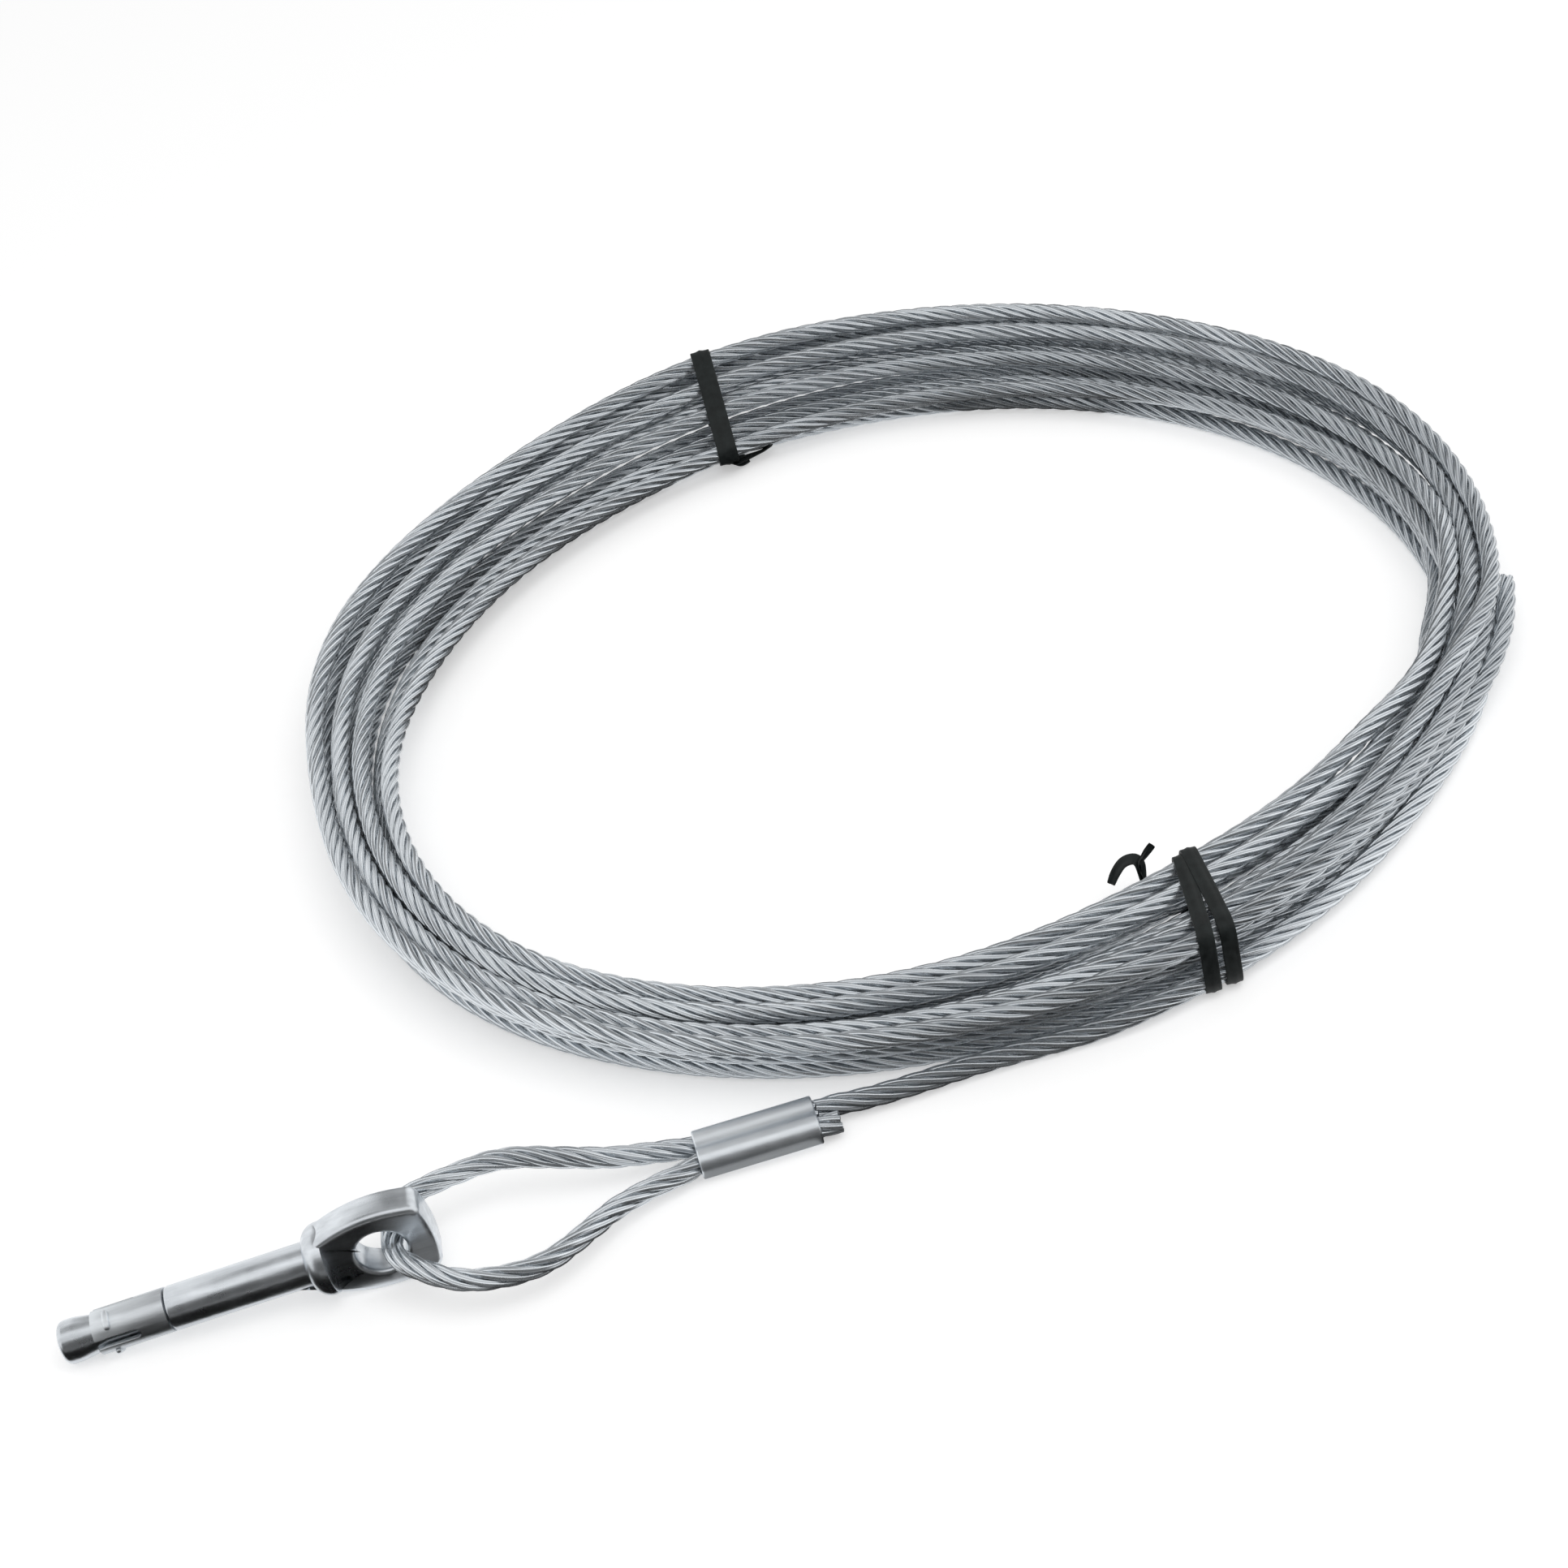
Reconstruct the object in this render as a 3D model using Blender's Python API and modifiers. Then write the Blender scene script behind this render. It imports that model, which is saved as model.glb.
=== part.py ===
"""Wire-rope hanger: a wedge expansion anchor with a forged eye, a soft rope loop closed by a
crimped ferrule, and the rest of the rope laid in a tied round coil. It lies on the plane z = 0,
with the anchor, loop and ferrule in line along X. Lengths are in metres."""

import math

import bmesh
import bpy
from mathutils import Matrix, Vector

MM = 0.001

# Anchor bolt, measured along its axis from the cone's end
ANCHOR_LENGTH = 54.0 * MM
SHANK_DIA = 6.35 * MM
CONE_DIA = 6.2 * MM
CONE_EDGE = 0.9 * MM  # round at the cone's end
CONE_LAND = 2.2 * MM  # straight part behind the round
CONE_LENGTH = 5.1 * MM  # end of the bolt to the clip's mouth
CONE_MOUTH_DIA = 5.3 * MM  # where the cone goes into the clip
CONE_RUN_OUT = 1.5 * MM  # last of the taper, inside the clip
NECK_DIA = 4.6 * MM
CLIP_LENGTH = 10.5 * MM
CLIP_CLEARANCE = 0.3 * MM  # between the clip and the bolt, all round and at its back

# Forged eye head
HEAD_LENGTH = 15.0 * MM  # collar's ledge to the end of the eye
COLLAR_DIA = 10.4 * MM
SHOULDER_LENGTH = 2.5 * MM  # shank to the ledge
EYE_WIDTH = 13.6 * MM
EYE_THICKNESS = 5.25 * MM
EYE_HOLE_DIA = 7.14 * MM
EYE_END_WALL = 4.1 * MM  # metal between the hole and the end of the eye
EYE_HOLE_EDGE = 0.7 * MM  # round at the hole's mouths
EYE_CORNER = 2.0 * MM
EYE_END_CROWN = 0.4 * MM
EYE_SIDE_TAPER = 1.6 * MM  # loss of half-width at the collar
EYE_TIP_TAPER = 0.6 * MM  # loss of half-width at the corners
EYE_RIM_ROUND = 0.55 * MM

# Expansion clip
SLOT_COUNT = 3
SLOT_WIDTH = 1.5 * MM
SLOT_LENGTH = 6.4 * MM
SEAM_WIDTH = 0.45 * MM
NUB_LENGTH = 3.0 * MM  # around the clip
NUB_WIDTH = 1.0 * MM  # along the clip
NUB_DEPTH = 1.0 * MM
NUB_PROUD = 0.45 * MM
NUB_SETBACK = 2.3 * MM  # clip's mouth to the middle of the nubs
CLIP_TURN = math.radians(113.0)

# Wire rope
ROPE_DIA = 3.2 * MM
ROPE_LAY = 22.0 * MM  # one turn of an outer strand
OUTER_STRANDS = 6
STRAND_FLUTE = 0.28 * MM  # depth of the groove between two outer strands
SEAT_CLEARANCE = 0.3 * MM  # rope to the wall of the eye
FACE_GAP = 0.3 * MM  # between the end faces of two solids of the rope

# Ferrule
FERRULE_LENGTH = 17.5 * MM
FERRULE_WALL = 0.45 * MM
FERRULE_BORE_CLEARANCE = 0.25 * MM
FERRULE_GROOVE = 0.45 * MM  # depth of the outer groove between its two lobes
FERRULE_WAIST = 0.8 * MM  # how far the bore narrows between the two ropes
FERRULE_EDGE = 0.18 * MM
FERRULE_YAW = math.radians(3.0)
FERRULE_CENTRE = (43.85 * MM, 6.7 * MM)
TAIL_LENGTH = 3.0 * MM  # cut tail that stands out of the ferrule

# Coil and its ties
COIL_CENTRE = (83.1 * MM, 109.1 * MM)
# The tied bundle's oval section at some places round the coil: the angle, the radius and height of its middle,
# its width and depth in millimetres, and how many degrees its outer side is tipped up
BUNDLE = [
    (-140, 93.6, 5.6, 12.8, 10.4, 0), (-105, 92.0, 6.0, 13.8, 10.6, 6), (-70.6, 89.0, 6.4, 18.0, 10.8, 3),
    (-40, 90.9, 6.2, 13.2, 11.4, 0), (-16, 91.6, 6.3, 12.2, 11.6, 3), (10, 92.0, 6.0, 16.6, 9.8, 18),
    (45, 88.3, 7.0, 18.2, 9.8, 28), (99.6, 86.9, 8.4, 22.8, 9.8, 32), (140, 88.4, 6.9, 21.6, 10.2, 27),
    (160, 91.2, 6.3, 20.6, 9.9, 19), (180, 90.5, 5.9, 14.5, 10.2, 10),
]
TIE_THICKNESS = 0.7 * MM
TIE_CLEARANCE = 0.4 * MM
TIE_WIRE_DIA = 1.3 * MM
PIGTAIL_TRUNK_DIA = 1.6 * MM
FRONT_TIE_WIDTH = 4.6 * MM
BACK_TIE_WIDTH = 3.6 * MM
FRONT_TIE_ANGLE = math.radians(-70.6)
BACK_TIE_ANGLE = math.radians(99.6)
PIGTAIL_ROOT = (105.6 * MM, 34.4 * MM, 4.6 * MM)
PIGTAIL_ENDS = ((109.5 * MM, 36.5 * MM, 10.0 * MM), (103.1 * MM, 35.8 * MM, 5.0 * MM))
BACK_TIE_END_LENGTH = 5.0 * MM
FREE_END_ANGLE = math.radians(-15.7)
FREE_END_HEIGHT = 6.0 * MM
LEAD_END_HEIGHT = 3.6 * MM

# Where the rope crosses the eye: the pivot of the anchor
PIVOT_X = -7.75 * MM
PIVOT_Y = 1.2 * MM

# Route of the two legs of the loop and of the lead, by points on the rope's centre line
FRONT_LEG = [(32.7, 3.2, 2.5), (27.8, 1.5, 2.9), (23.0, -1.0, 3.4), (19.3, -4.0, 3.9), (15.6, -7.1, 4.4),
             (12.5, -9.1, 4.8), (8.7, -10.2, 5.2), (4.3, -10.2, 5.6), (1.1, -9.4, 5.8), (-1.6, -8.0, 6.0),
             (-4.2, -6.0, 6.2), (-6.5, -3.9, 6.5)]
BACK_LEG = [(-6.8, 6.4, 7.1), (-4.9, 7.7, 7.4), (-1.7, 8.6, 7.6), (1.9, 9.4, 7.6), (6.6, 10.2, 7.5),
            (11.1, 9.9, 7.1), (16.7, 8.5, 6.4), (23.2, 7.4, 5.1), (28.8, 7.4, 3.9), (33.0, 7.8, 2.8)]
LEAD = [(59.7, 8.9, 2.2), (63.8, 9.1, 2.1), (69.8, 9.6, 2.0), (75.9, 10.2, 1.9), (81.8, 10.5, 1.8),
        (87.7, 10.6, 1.7), (93.7, 10.8, 1.8), (99.6, 11.3, 2.4), (105.6, 12.4, 2.9)]

# Worked out from the sizes above
rope_radius = ROPE_DIA / 2
eye_hole_radius = EYE_HOLE_DIA / 2
# Along the bolt's own axis, zero is the pivot and plus is towards the end of the eye
hole_middle = -(eye_hole_radius - rope_radius - SEAT_CLEARANCE)
eye_end = hole_middle + eye_hole_radius + EYE_END_WALL
bolt_end = eye_end - ANCHOR_LENGTH
ledge = eye_end - HEAD_LENGTH
clip_front = bolt_end + CONE_LENGTH
clip_back = clip_front + CLIP_LENGTH
widest = hole_middle + 0.5 * MM
land_start = bolt_end + CONE_EDGE
# The eye stands on its rim and the cone on the same plane, so the bolt leans a little
lean = math.asin((EYE_WIDTH - CONE_DIA) / 2 / (widest - land_start))
# The leaning barrel side touches the plane a little off its widest place
settle = (math.tan(lean) * (widest - ledge)) ** 2 / (4 * EYE_SIDE_TAPER)
pivot_height = EYE_WIDTH / 2 * math.cos(lean) - widest * math.sin(lean) + settle
pivot = Vector((PIVOT_X, PIVOT_Y, pivot_height))
bore_radius = rope_radius + FERRULE_BORE_CLEARANCE
lobe_radius = bore_radius + FERRULE_WALL
lobe_offset = (ROPE_DIA + FERRULE_BORE_CLEARANCE) / 2
ferrule_middle = Vector((*FERRULE_CENTRE, lobe_radius))
ferrule_along = Vector((math.cos(FERRULE_YAW), math.sin(FERRULE_YAW), 0))
ferrule_across = Vector((-math.sin(FERRULE_YAW), math.cos(FERRULE_YAW), 0))


def clear_scene():
    for old in list(bpy.data.objects):
        bpy.data.objects.remove(old, do_unlink=True)


def collection(name):
    made = bpy.data.collections.new(name)
    bpy.context.scene.collection.children.link(made)
    return made


def material(name, colour, roughness, metallic):
    made = bpy.data.materials.new(name)
    made.use_nodes = True
    shader = made.node_tree.nodes["Principled BSDF"]
    shader.inputs["Base Color"].default_value = (*colour, 1.0)
    shader.inputs["Roughness"].default_value = roughness
    shader.inputs["Metallic"].default_value = metallic
    return made


def add_object(name, data, group, finish=None):
    made = bpy.data.objects.new(name, data)
    group.objects.link(made)
    if finish is not None:
        data.materials.clear()
        data.materials.append(finish)
    return made


def shade(piece, angle=math.radians(35)):
    piece.data.shade_smooth()
    piece.data.set_sharp_from_angle(angle=angle)


def mark_cutter(piece):
    piece.hide_render = True
    piece.display_type = "WIRE"
    return piece


def turned(name, profile, group, finish=None, steps=40):
    """A profile of (radius, height) points, top to bottom, turned about Z."""
    mesh = bpy.data.meshes.new(name)
    points = [(radius, 0, height) for radius, height in profile]
    closed = profile[0][0] > 0
    edges = [(i, i + 1) for i in range(len(points) - 1)]
    if closed:
        edges.append((len(points) - 1, 0))
    mesh.from_pydata(points, edges, [])
    made = add_object(name, mesh, group, finish)
    screw = made.modifiers.new("turn", "SCREW")
    screw.axis = "Z"
    screw.angle = 2 * math.pi
    screw.steps = screw.render_steps = steps
    screw.use_merge_vertices = True
    screw.merge_threshold = 0.00001
    screw.use_smooth_shade = True
    return made


def boolean(piece, operation, other):
    step = piece.modifiers.new(operation.lower(), "BOOLEAN")
    step.operation = operation
    step.object = other
    step.solver = "EXACT"


def bevel(piece, width, segments=2, angle=math.radians(40)):
    step = piece.modifiers.new("edges", "BEVEL")
    step.width = width
    step.segments = segments
    step.limit_method = "ANGLE"
    step.angle_limit = angle


def apply_all(piece, whole_faces=False):
    """Gives the piece the mesh that its curve makes, with its flat caps as whole faces if asked."""
    bpy.context.view_layer.update()
    graph = bpy.context.evaluated_depsgraph_get()
    mesh = bpy.data.meshes.new_from_object(piece.evaluated_get(graph))
    loose = bmesh.new()
    loose.from_mesh(mesh)
    bmesh.ops.remove_doubles(loose, verts=loose.verts, dist=0.00001)
    if whole_faces:
        bmesh.ops.dissolve_limit(loose, angle_limit=math.radians(0.5), verts=loose.verts, edges=loose.edges)
    loose.to_mesh(mesh)
    loose.free()
    name, place, parent = piece.name, piece.matrix_world.copy(), piece.parent
    group = piece.users_collection[0]
    bpy.data.objects.remove(piece, do_unlink=True)
    made = bpy.data.objects.new(name, mesh)
    group.objects.link(made)
    made.matrix_world = place
    if parent is not None:
        made.parent = parent
    return made


def place_in_mesh(piece):
    """Moves the piece's place and turn into its mesh."""
    piece.data.transform(piece.matrix_world)
    piece.matrix_world = Matrix.Identity(4)
    return piece


def flat_outline(name, outlines, thickness, group, finish=None):
    """Closed 2D outlines in XY, filled and thickened along Z; an outline inside another is a hole."""
    curve = bpy.data.curves.new(name, "CURVE")
    curve.dimensions = "2D"
    curve.fill_mode = "BOTH"
    curve.extrude = thickness / 2
    for outline in outlines:
        spline = curve.splines.new("POLY")
        spline.points.add(len(outline) - 1)
        for point, (x, y) in zip(spline.points, outline):
            point.co = (x, y, 0, 1)
        spline.use_cyclic_u = True
    return add_object(name, curve, group, finish)


def smooth_route(route, spacing):
    """Evenly spaced points on a smooth curve through the route's own points."""
    points = [Vector(p) for p in route]
    padded = [2 * points[0] - points[1], *points, 2 * points[-1] - points[-2]]
    fine = []
    for a, b, c, d in zip(padded, padded[1:], padded[2:], padded[3:]):
        for step in range(24):
            t = step / 24
            fine.append(0.5 * (2 * b + (c - a) * t + (2 * a - 5 * b + 4 * c - d) * t * t
                               + (3 * b - a - 3 * c + d) * t ** 3))
    fine.append(points[-1])
    total = sum((q - p).length for p, q in zip(fine, fine[1:]))
    count = max(2, round(total / spacing))
    spaced, passed, target = [fine[0]], 0.0, total / count
    for p, q in zip(fine, fine[1:]):
        length = (q - p).length
        while passed + length >= target and len(spaced) < count:
            spaced.append(p.lerp(q, (target - passed) / length))
            target += total / count
        passed += length
    spaced.append(fine[-1])
    return spaced


def tube(name, route, radius, group, finish, spacing=2.5 * ROPE_DIA, sides=2):
    """A round rope or wire along a route."""
    curve = bpy.data.curves.new(name, "CURVE")
    curve.dimensions = "3D"
    curve.bevel_depth = radius
    curve.bevel_resolution = sides
    curve.use_fill_caps = True
    points = smooth_route(route, spacing)
    spline = curve.splines.new("POLY")
    spline.points.add(len(points) - 1)
    for place, point in zip(points, spline.points):
        point.co = (*place, 1)
    return add_object(name, curve, group, finish)


def ring_point(angle, radius, height):
    """A point by its angle round the coil's middle."""
    return (COIL_CENTRE[0] + radius * math.cos(angle), COIL_CENTRE[1] + radius * math.sin(angle), height)


def oval(width, height, count):
    """A full-cornered oval."""
    turns = [2 * math.pi * i / count for i in range(count)]
    fullness = 0.8
    return [(width / 2 * math.copysign(abs(math.cos(a)) ** fullness, math.cos(a)),
             height / 2 * math.copysign(abs(math.sin(a)) ** fullness, math.sin(a))) for a in turns]


def eye_outline():
    """The eye plate seen square on: barrel sides from inside the collar, round corners, a flat end."""
    start = ledge - SHOULDER_LENGTH / 2
    corner = eye_end - EYE_CORNER - EYE_END_CROWN
    side = []
    for i in range(11):
        z = start + (corner - start) * i / 10
        if z < widest:
            half = EYE_WIDTH / 2 - EYE_SIDE_TAPER * ((widest - z) / (widest - ledge)) ** 2
        else:
            half = EYE_WIDTH / 2 - EYE_TIP_TAPER * ((z - widest) / (corner - widest)) ** 2
        side.append((half, z))
    inner = EYE_WIDTH / 2 - EYE_TIP_TAPER - EYE_CORNER
    for i in range(1, 6):
        turn = math.radians(90 * i / 6)
        side.append((inner + EYE_CORNER * math.cos(turn), corner + EYE_CORNER * math.sin(turn)))
    end = []
    for i in range(5):
        x = inner * (1 - i / 4)
        end.append((x, eye_end - EYE_END_CROWN * (x / inner) ** 2))
    right = side + end
    left = [(-x, z) for x, z in reversed(right) if x > 0]
    return right + left


def anchor_bolt(group, cutters, steel, parent):
    """Cone, neck, shank and collar turned in one piece, with the eye plate forged on its end."""
    shank, neck, cone = SHANK_DIA / 2, NECK_DIA / 2, CONE_DIA / 2
    collar = COLLAR_DIA / 2
    flare = []
    for i in range(1, 7):
        turn = math.radians(90 * i / 6)
        flare.append((shank + (collar - shank) * math.sin(turn),
                      ledge - SHOULDER_LENGTH * math.cos(turn) - EYE_RIM_ROUND))
    cone_round = []
    for i in range(5):
        turn = math.radians(90 * i / 4)
        cone_round.append((cone - CONE_EDGE * (1 - math.cos(turn)),
                           land_start - CONE_EDGE * math.sin(turn)))
    profile = [(0, ledge), (collar - 0.3 * MM, ledge), *reversed(flare),
               (shank, ledge - SHOULDER_LENGTH - EYE_RIM_ROUND),
               (shank, clip_back + CLIP_CLEARANCE),
               (neck, clip_back + CLIP_CLEARANCE),
               (neck, clip_front + CONE_RUN_OUT),
               (CONE_MOUTH_DIA / 2, clip_front),
               (cone, bolt_end + CONE_LAND), *cone_round, (0, bolt_end)]
    bolt = turned("anchor_bolt", profile, group, steel)
    plate = flat_outline("eye_plate", [eye_outline()], EYE_THICKNESS, cutters)
    plate.rotation_euler = (math.radians(90), 0, 0)
    plate = mark_cutter(apply_all(plate, whole_faces=True))
    bevel(plate, EYE_RIM_ROUND)
    half, mouth = EYE_THICKNESS / 2, eye_hole_radius + EYE_HOLE_EDGE
    lip = []
    for i in range(4):
        turn = math.radians(90 * i / 3)
        lip.append((mouth - EYE_HOLE_EDGE * math.sin(turn), half - EYE_HOLE_EDGE * (1 - math.cos(turn))))
    upper = [(0, half + EYE_HOLE_EDGE), (mouth, half + EYE_HOLE_EDGE), *lip]
    hole = turned("eye_hole", upper + [(r, -z) for r, z in reversed(upper)], cutters, steps=32)
    hole.rotation_euler = (math.radians(90), 0, 0)
    hole.location = (0, 0, hole_middle)
    mark_cutter(hole)
    boolean(bolt, "UNION", plate)
    boolean(bolt, "DIFFERENCE", hole)
    for piece in (bolt, plate, hole):
        piece.parent = parent
    return bolt


def expansion_clip(group, cutters, steel, parent):
    """A thin split sleeve: slots from its mouth part it into fingers, each with a nub."""
    outer = SHANK_DIA / 2
    inner = NECK_DIA / 2 + CLIP_CLEARANCE
    mouth = CONE_MOUTH_DIA / 2 + CLIP_CLEARANCE
    half = CLIP_LENGTH / 2
    taper_end = -half + CONE_RUN_OUT
    middle = clip_front + half
    profile = [(inner, half), (outer - 0.1 * MM, half), (outer, half - 0.15 * MM),
               (outer, -half + 0.1 * MM), (outer - 0.08 * MM, -half), (mouth, -half), (inner, taper_end)]
    clip = turned("expansion_clip", profile, group, steel, steps=48)
    clip.parent = parent
    clip.location = (0, 0, middle)
    clip.rotation_euler = (0, 0, CLIP_TURN)
    for k in range(SLOT_COUNT):
        turn = 2 * math.pi * k / SLOT_COUNT
        slot_end = -half + SLOT_LENGTH - SLOT_WIDTH / 2
        arc = [math.radians(15 * i) for i in range(13)]
        outline = [(SLOT_WIDTH / 2, -half - outer)]
        outline += [(SLOT_WIDTH / 2 * math.cos(a), slot_end + SLOT_WIDTH / 2 * math.sin(a)) for a in arc]
        outline += [(-SLOT_WIDTH / 2, -half - outer)]
        slot = flat_outline(f"slot_{k + 1}", [outline], 2 * outer, cutters)
        slot.rotation_euler = (math.radians(90), 0, 0)
        slot.location = (0, -outer, 0)
        slot = place_in_mesh(apply_all(slot))
        slot.parent = clip
        slot.rotation_euler = (0, 0, turn)
        boolean(clip, "DIFFERENCE", mark_cutter(slot))
        nub = bmesh.new()
        bmesh.ops.create_uvsphere(nub, u_segments=20, v_segments=12, radius=0.5)
        bmesh.ops.scale(nub, vec=(NUB_DEPTH, NUB_LENGTH, NUB_WIDTH), verts=nub.verts)
        seat = outer + NUB_PROUD - NUB_DEPTH / 2
        bmesh.ops.translate(nub, vec=(seat, 0, -half + NUB_SETBACK), verts=nub.verts)
        mesh = bpy.data.meshes.new(f"nub_{k + 1}")
        nub.to_mesh(mesh)
        nub.free()
        bump = add_object(f"nub_{k + 1}", mesh, cutters)
        bump.parent = clip
        bump.rotation_euler = (0, 0, turn + math.pi / SLOT_COUNT - math.pi / 2)
        boolean(clip, "UNION", mark_cutter(bump))
    seam = bmesh.new()
    bmesh.ops.create_cube(seam, size=1)
    bmesh.ops.scale(seam, vec=(SEAM_WIDTH, 2 * outer, 2 * CLIP_LENGTH), verts=seam.verts)
    bmesh.ops.translate(seam, vec=(0, -outer, 0), verts=seam.verts)
    mesh = bpy.data.meshes.new("seam")
    seam.to_mesh(mesh)
    seam.free()
    cutter = add_object("seam", mesh, cutters)
    cutter.parent = clip
    boolean(clip, "DIFFERENCE", mark_cutter(cutter))
    return clip


def rope_section(group):
    """The rope's outline across: a ridge for each outer strand, as three points."""
    curve = bpy.data.curves.new("rope_section", "CURVE")
    curve.dimensions = "2D"
    count = 3 * OUTER_STRANDS
    spline = curve.splines.new("POLY")
    spline.points.add(count - 1)
    for i, point in enumerate(spline.points):
        turn = -2 * math.pi * i / count
        radius = rope_radius - STRAND_FLUTE * (1 - math.cos(OUTER_STRANDS * turn)) / 1.5
        point.co = (radius * math.cos(turn), radius * math.sin(turn), 0, 1)
    spline.use_cyclic_u = True
    return mark_cutter(add_object("rope_section", curve, group))


def rope_loop(group, cutters, finish):
    """Cut tail, through the ferrule, round the eye and back through the ferrule, its strands twisted."""
    side = ferrule_across * lobe_offset
    ends = [FERRULE_LENGTH / 2 * k for k in (1, 0.5, 0, -0.5, -0.8, -1)]
    tail = [ferrule_middle - side + ferrule_along * (FERRULE_LENGTH / 2 + TAIL_LENGTH)]
    tail += [ferrule_middle - side + ferrule_along * end for end in ends]
    eye = [pivot + Vector((0, y, 0)) for y in (-2.9 * MM, 0, 2.9 * MM)]
    outlet = [ferrule_middle + side + ferrule_along * end for end in reversed(ends)]
    legs = [[Vector(p) * MM for p in leg] for leg in (FRONT_LEG, BACK_LEG)]
    loop = tube("rope_loop", tail + legs[0] + eye + legs[1] + outlet, rope_radius, group, finish,
                spacing=1.25 * MM)
    curve = loop.data
    curve.bevel_mode = "OBJECT"
    curve.bevel_object = rope_section(cutters)
    points = curve.splines[0].points
    passed = 0.0
    for before, point in zip([points[0], *points], points):
        passed += (point.co - before.co).length
        point.tilt = 2 * math.pi * passed / ROPE_LAY
    return loop


def lobed_oval(radius, waist):
    """Two round lobes side by side, drawn in by the waist where they meet."""
    offset, steps = lobe_offset, 8
    arc = [math.radians(-90 + 180 * i / 12) for i in range(13)]
    end = [(offset + radius * math.cos(a), radius * math.sin(a)) for a in arc]
    top = []
    for i in range(1, 2 * steps):
        x = offset * (1 - i / steps)
        top.append((x, radius - waist * (1 + math.cos(math.pi * x / offset)) / 2))
    half = end + top
    return half + [(-x, -y) for x, y in half]


def ferrule(group, cutters, finish):
    """Crimped sleeve over the rope and its tail."""
    sleeve = flat_outline("ferrule", [lobed_oval(lobe_radius, FERRULE_GROOVE)], FERRULE_LENGTH, group)
    bore = flat_outline("ferrule_bore", [lobed_oval(bore_radius, FERRULE_WAIST)], 2 * FERRULE_LENGTH, cutters)
    for piece in (sleeve, bore):
        piece.rotation_euler = (math.radians(90), 0, math.radians(90) + FERRULE_YAW)
        piece.location = ferrule_middle
    sleeve = apply_all(sleeve, whole_faces=True)
    sleeve.data.materials.append(finish)
    bevel(sleeve, FERRULE_EDGE)
    boolean(sleeve, "DIFFERENCE", mark_cutter(apply_all(bore, whole_faces=True)))
    return sleeve


def bundle_at(angle):
    """Radius, height, width, depth and tilt of the bundle, on smooth curves through the set places."""
    wanted = math.degrees(angle) % 360
    places = [(place[0] + turn, *place[1:]) for turn in (-360, 0, 360, 720) for place in BUNDLE]
    last = next(i for i, place in enumerate(places) if place[0] > wanted)
    around = places[last - 2:last + 2]
    before, start, end, after = (place[0] for place in around)
    t = (wanted - start) / (end - start)
    found = []
    for a, b, c, d in list(zip(*around))[1:]:
        rise = (end - start) * (c - a) / (end - before)
        fall = (end - start) * (d - b) / (after - start)
        found.append(b + t * rise + t * t * (3 * (c - b) - 2 * rise - fall)
                     + t ** 3 * (2 * (b - c) + rise + fall))
    radius, height, width, depth, tilt = found
    return radius * MM, height * MM, width * MM, depth * MM, math.radians(tilt)


def tipped(outline, tilt):
    """An outline turned about its middle, in radius and height."""
    return [(x * math.cos(tilt) - y * math.sin(tilt), x * math.sin(tilt) + y * math.cos(tilt)) for x, y in outline]


def beside_bundle():
    """Radius of a strand that lies against the bundle's outer side at the front tie."""
    radius, _, width, _, _ = bundle_at(FRONT_TIE_ANGLE)
    return radius + width / 2 + FACE_GAP + rope_radius


def rope_lead(group, finish):
    """Plain rope from the ferrule to the coil's front, beside the ring up to the front tie."""
    start = ferrule_middle + ferrule_across * lobe_offset
    start += ferrule_along * (FERRULE_LENGTH / 2 + FACE_GAP)
    route = [start, start + ferrule_along * 3 * MM] + [Vector(p) * MM for p in LEAD]
    radius = beside_bundle()
    last = FRONT_TIE_ANGLE - (FRONT_TIE_WIDTH / 2 + FACE_GAP) / bundle_at(FRONT_TIE_ANGLE)[0]
    route.append(Vector(ring_point(last, radius, LEAD_END_HEIGHT)))
    return tube("rope_lead", route, rope_radius, group, finish)


def rope_coil(group, finish):
    """The body of the tied coil as one closed ring, wide and tipped up at the back."""
    steps, count = 96, 20
    made = bmesh.new()
    rings = []
    for i in range(steps):
        angle = 2 * math.pi * i / steps
        radius, height, width, depth, tilt = bundle_at(angle)
        section = tipped(oval(width, depth, count), tilt)
        rings.append([made.verts.new(ring_point(angle, radius + x, height + y)) for x, y in section])
    for ring, following in zip(rings, rings[1:] + rings[:1]):
        for k in range(count):
            made.faces.new((ring[k - 1], ring[k], following[k], following[k - 1]))
    bmesh.ops.recalc_face_normals(made, faces=made.faces)
    mesh = bpy.data.meshes.new("rope_coil")
    made.to_mesh(mesh)
    made.free()
    return add_object("rope_coil", mesh, group, finish)


def rope_free_end(group, finish):
    """Last strand of the coil, outermost, from the front tie to its bare cut end."""
    radius = beside_bundle()
    first = FRONT_TIE_ANGLE + (FRONT_TIE_WIDTH / 2 + FACE_GAP) / bundle_at(FRONT_TIE_ANGLE)[0]
    steps = 12
    route = []
    for i in range(steps + 1):
        angle = first + (FREE_END_ANGLE - first) * i / steps
        route.append(ring_point(angle, radius, FREE_END_HEIGHT))
    return tube("rope_free_end", route, rope_radius, group, finish)


def tie_band(name, angle, thickness, group):
    """A closed band round the bundle's section."""
    radius, height, width, depth, tilt = bundle_at(angle)
    outlines = []
    for off in (TIE_CLEARANCE + TIE_THICKNESS, TIE_CLEARANCE):
        outlines.append(tipped(oval(width + 2 * off, depth + 2 * off, 36), tilt))
    band = flat_outline(name, outlines, thickness, group)
    band.rotation_euler = (math.radians(90), 0, angle)
    band.location = ring_point(angle, radius, height)
    return apply_all(band)


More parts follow.
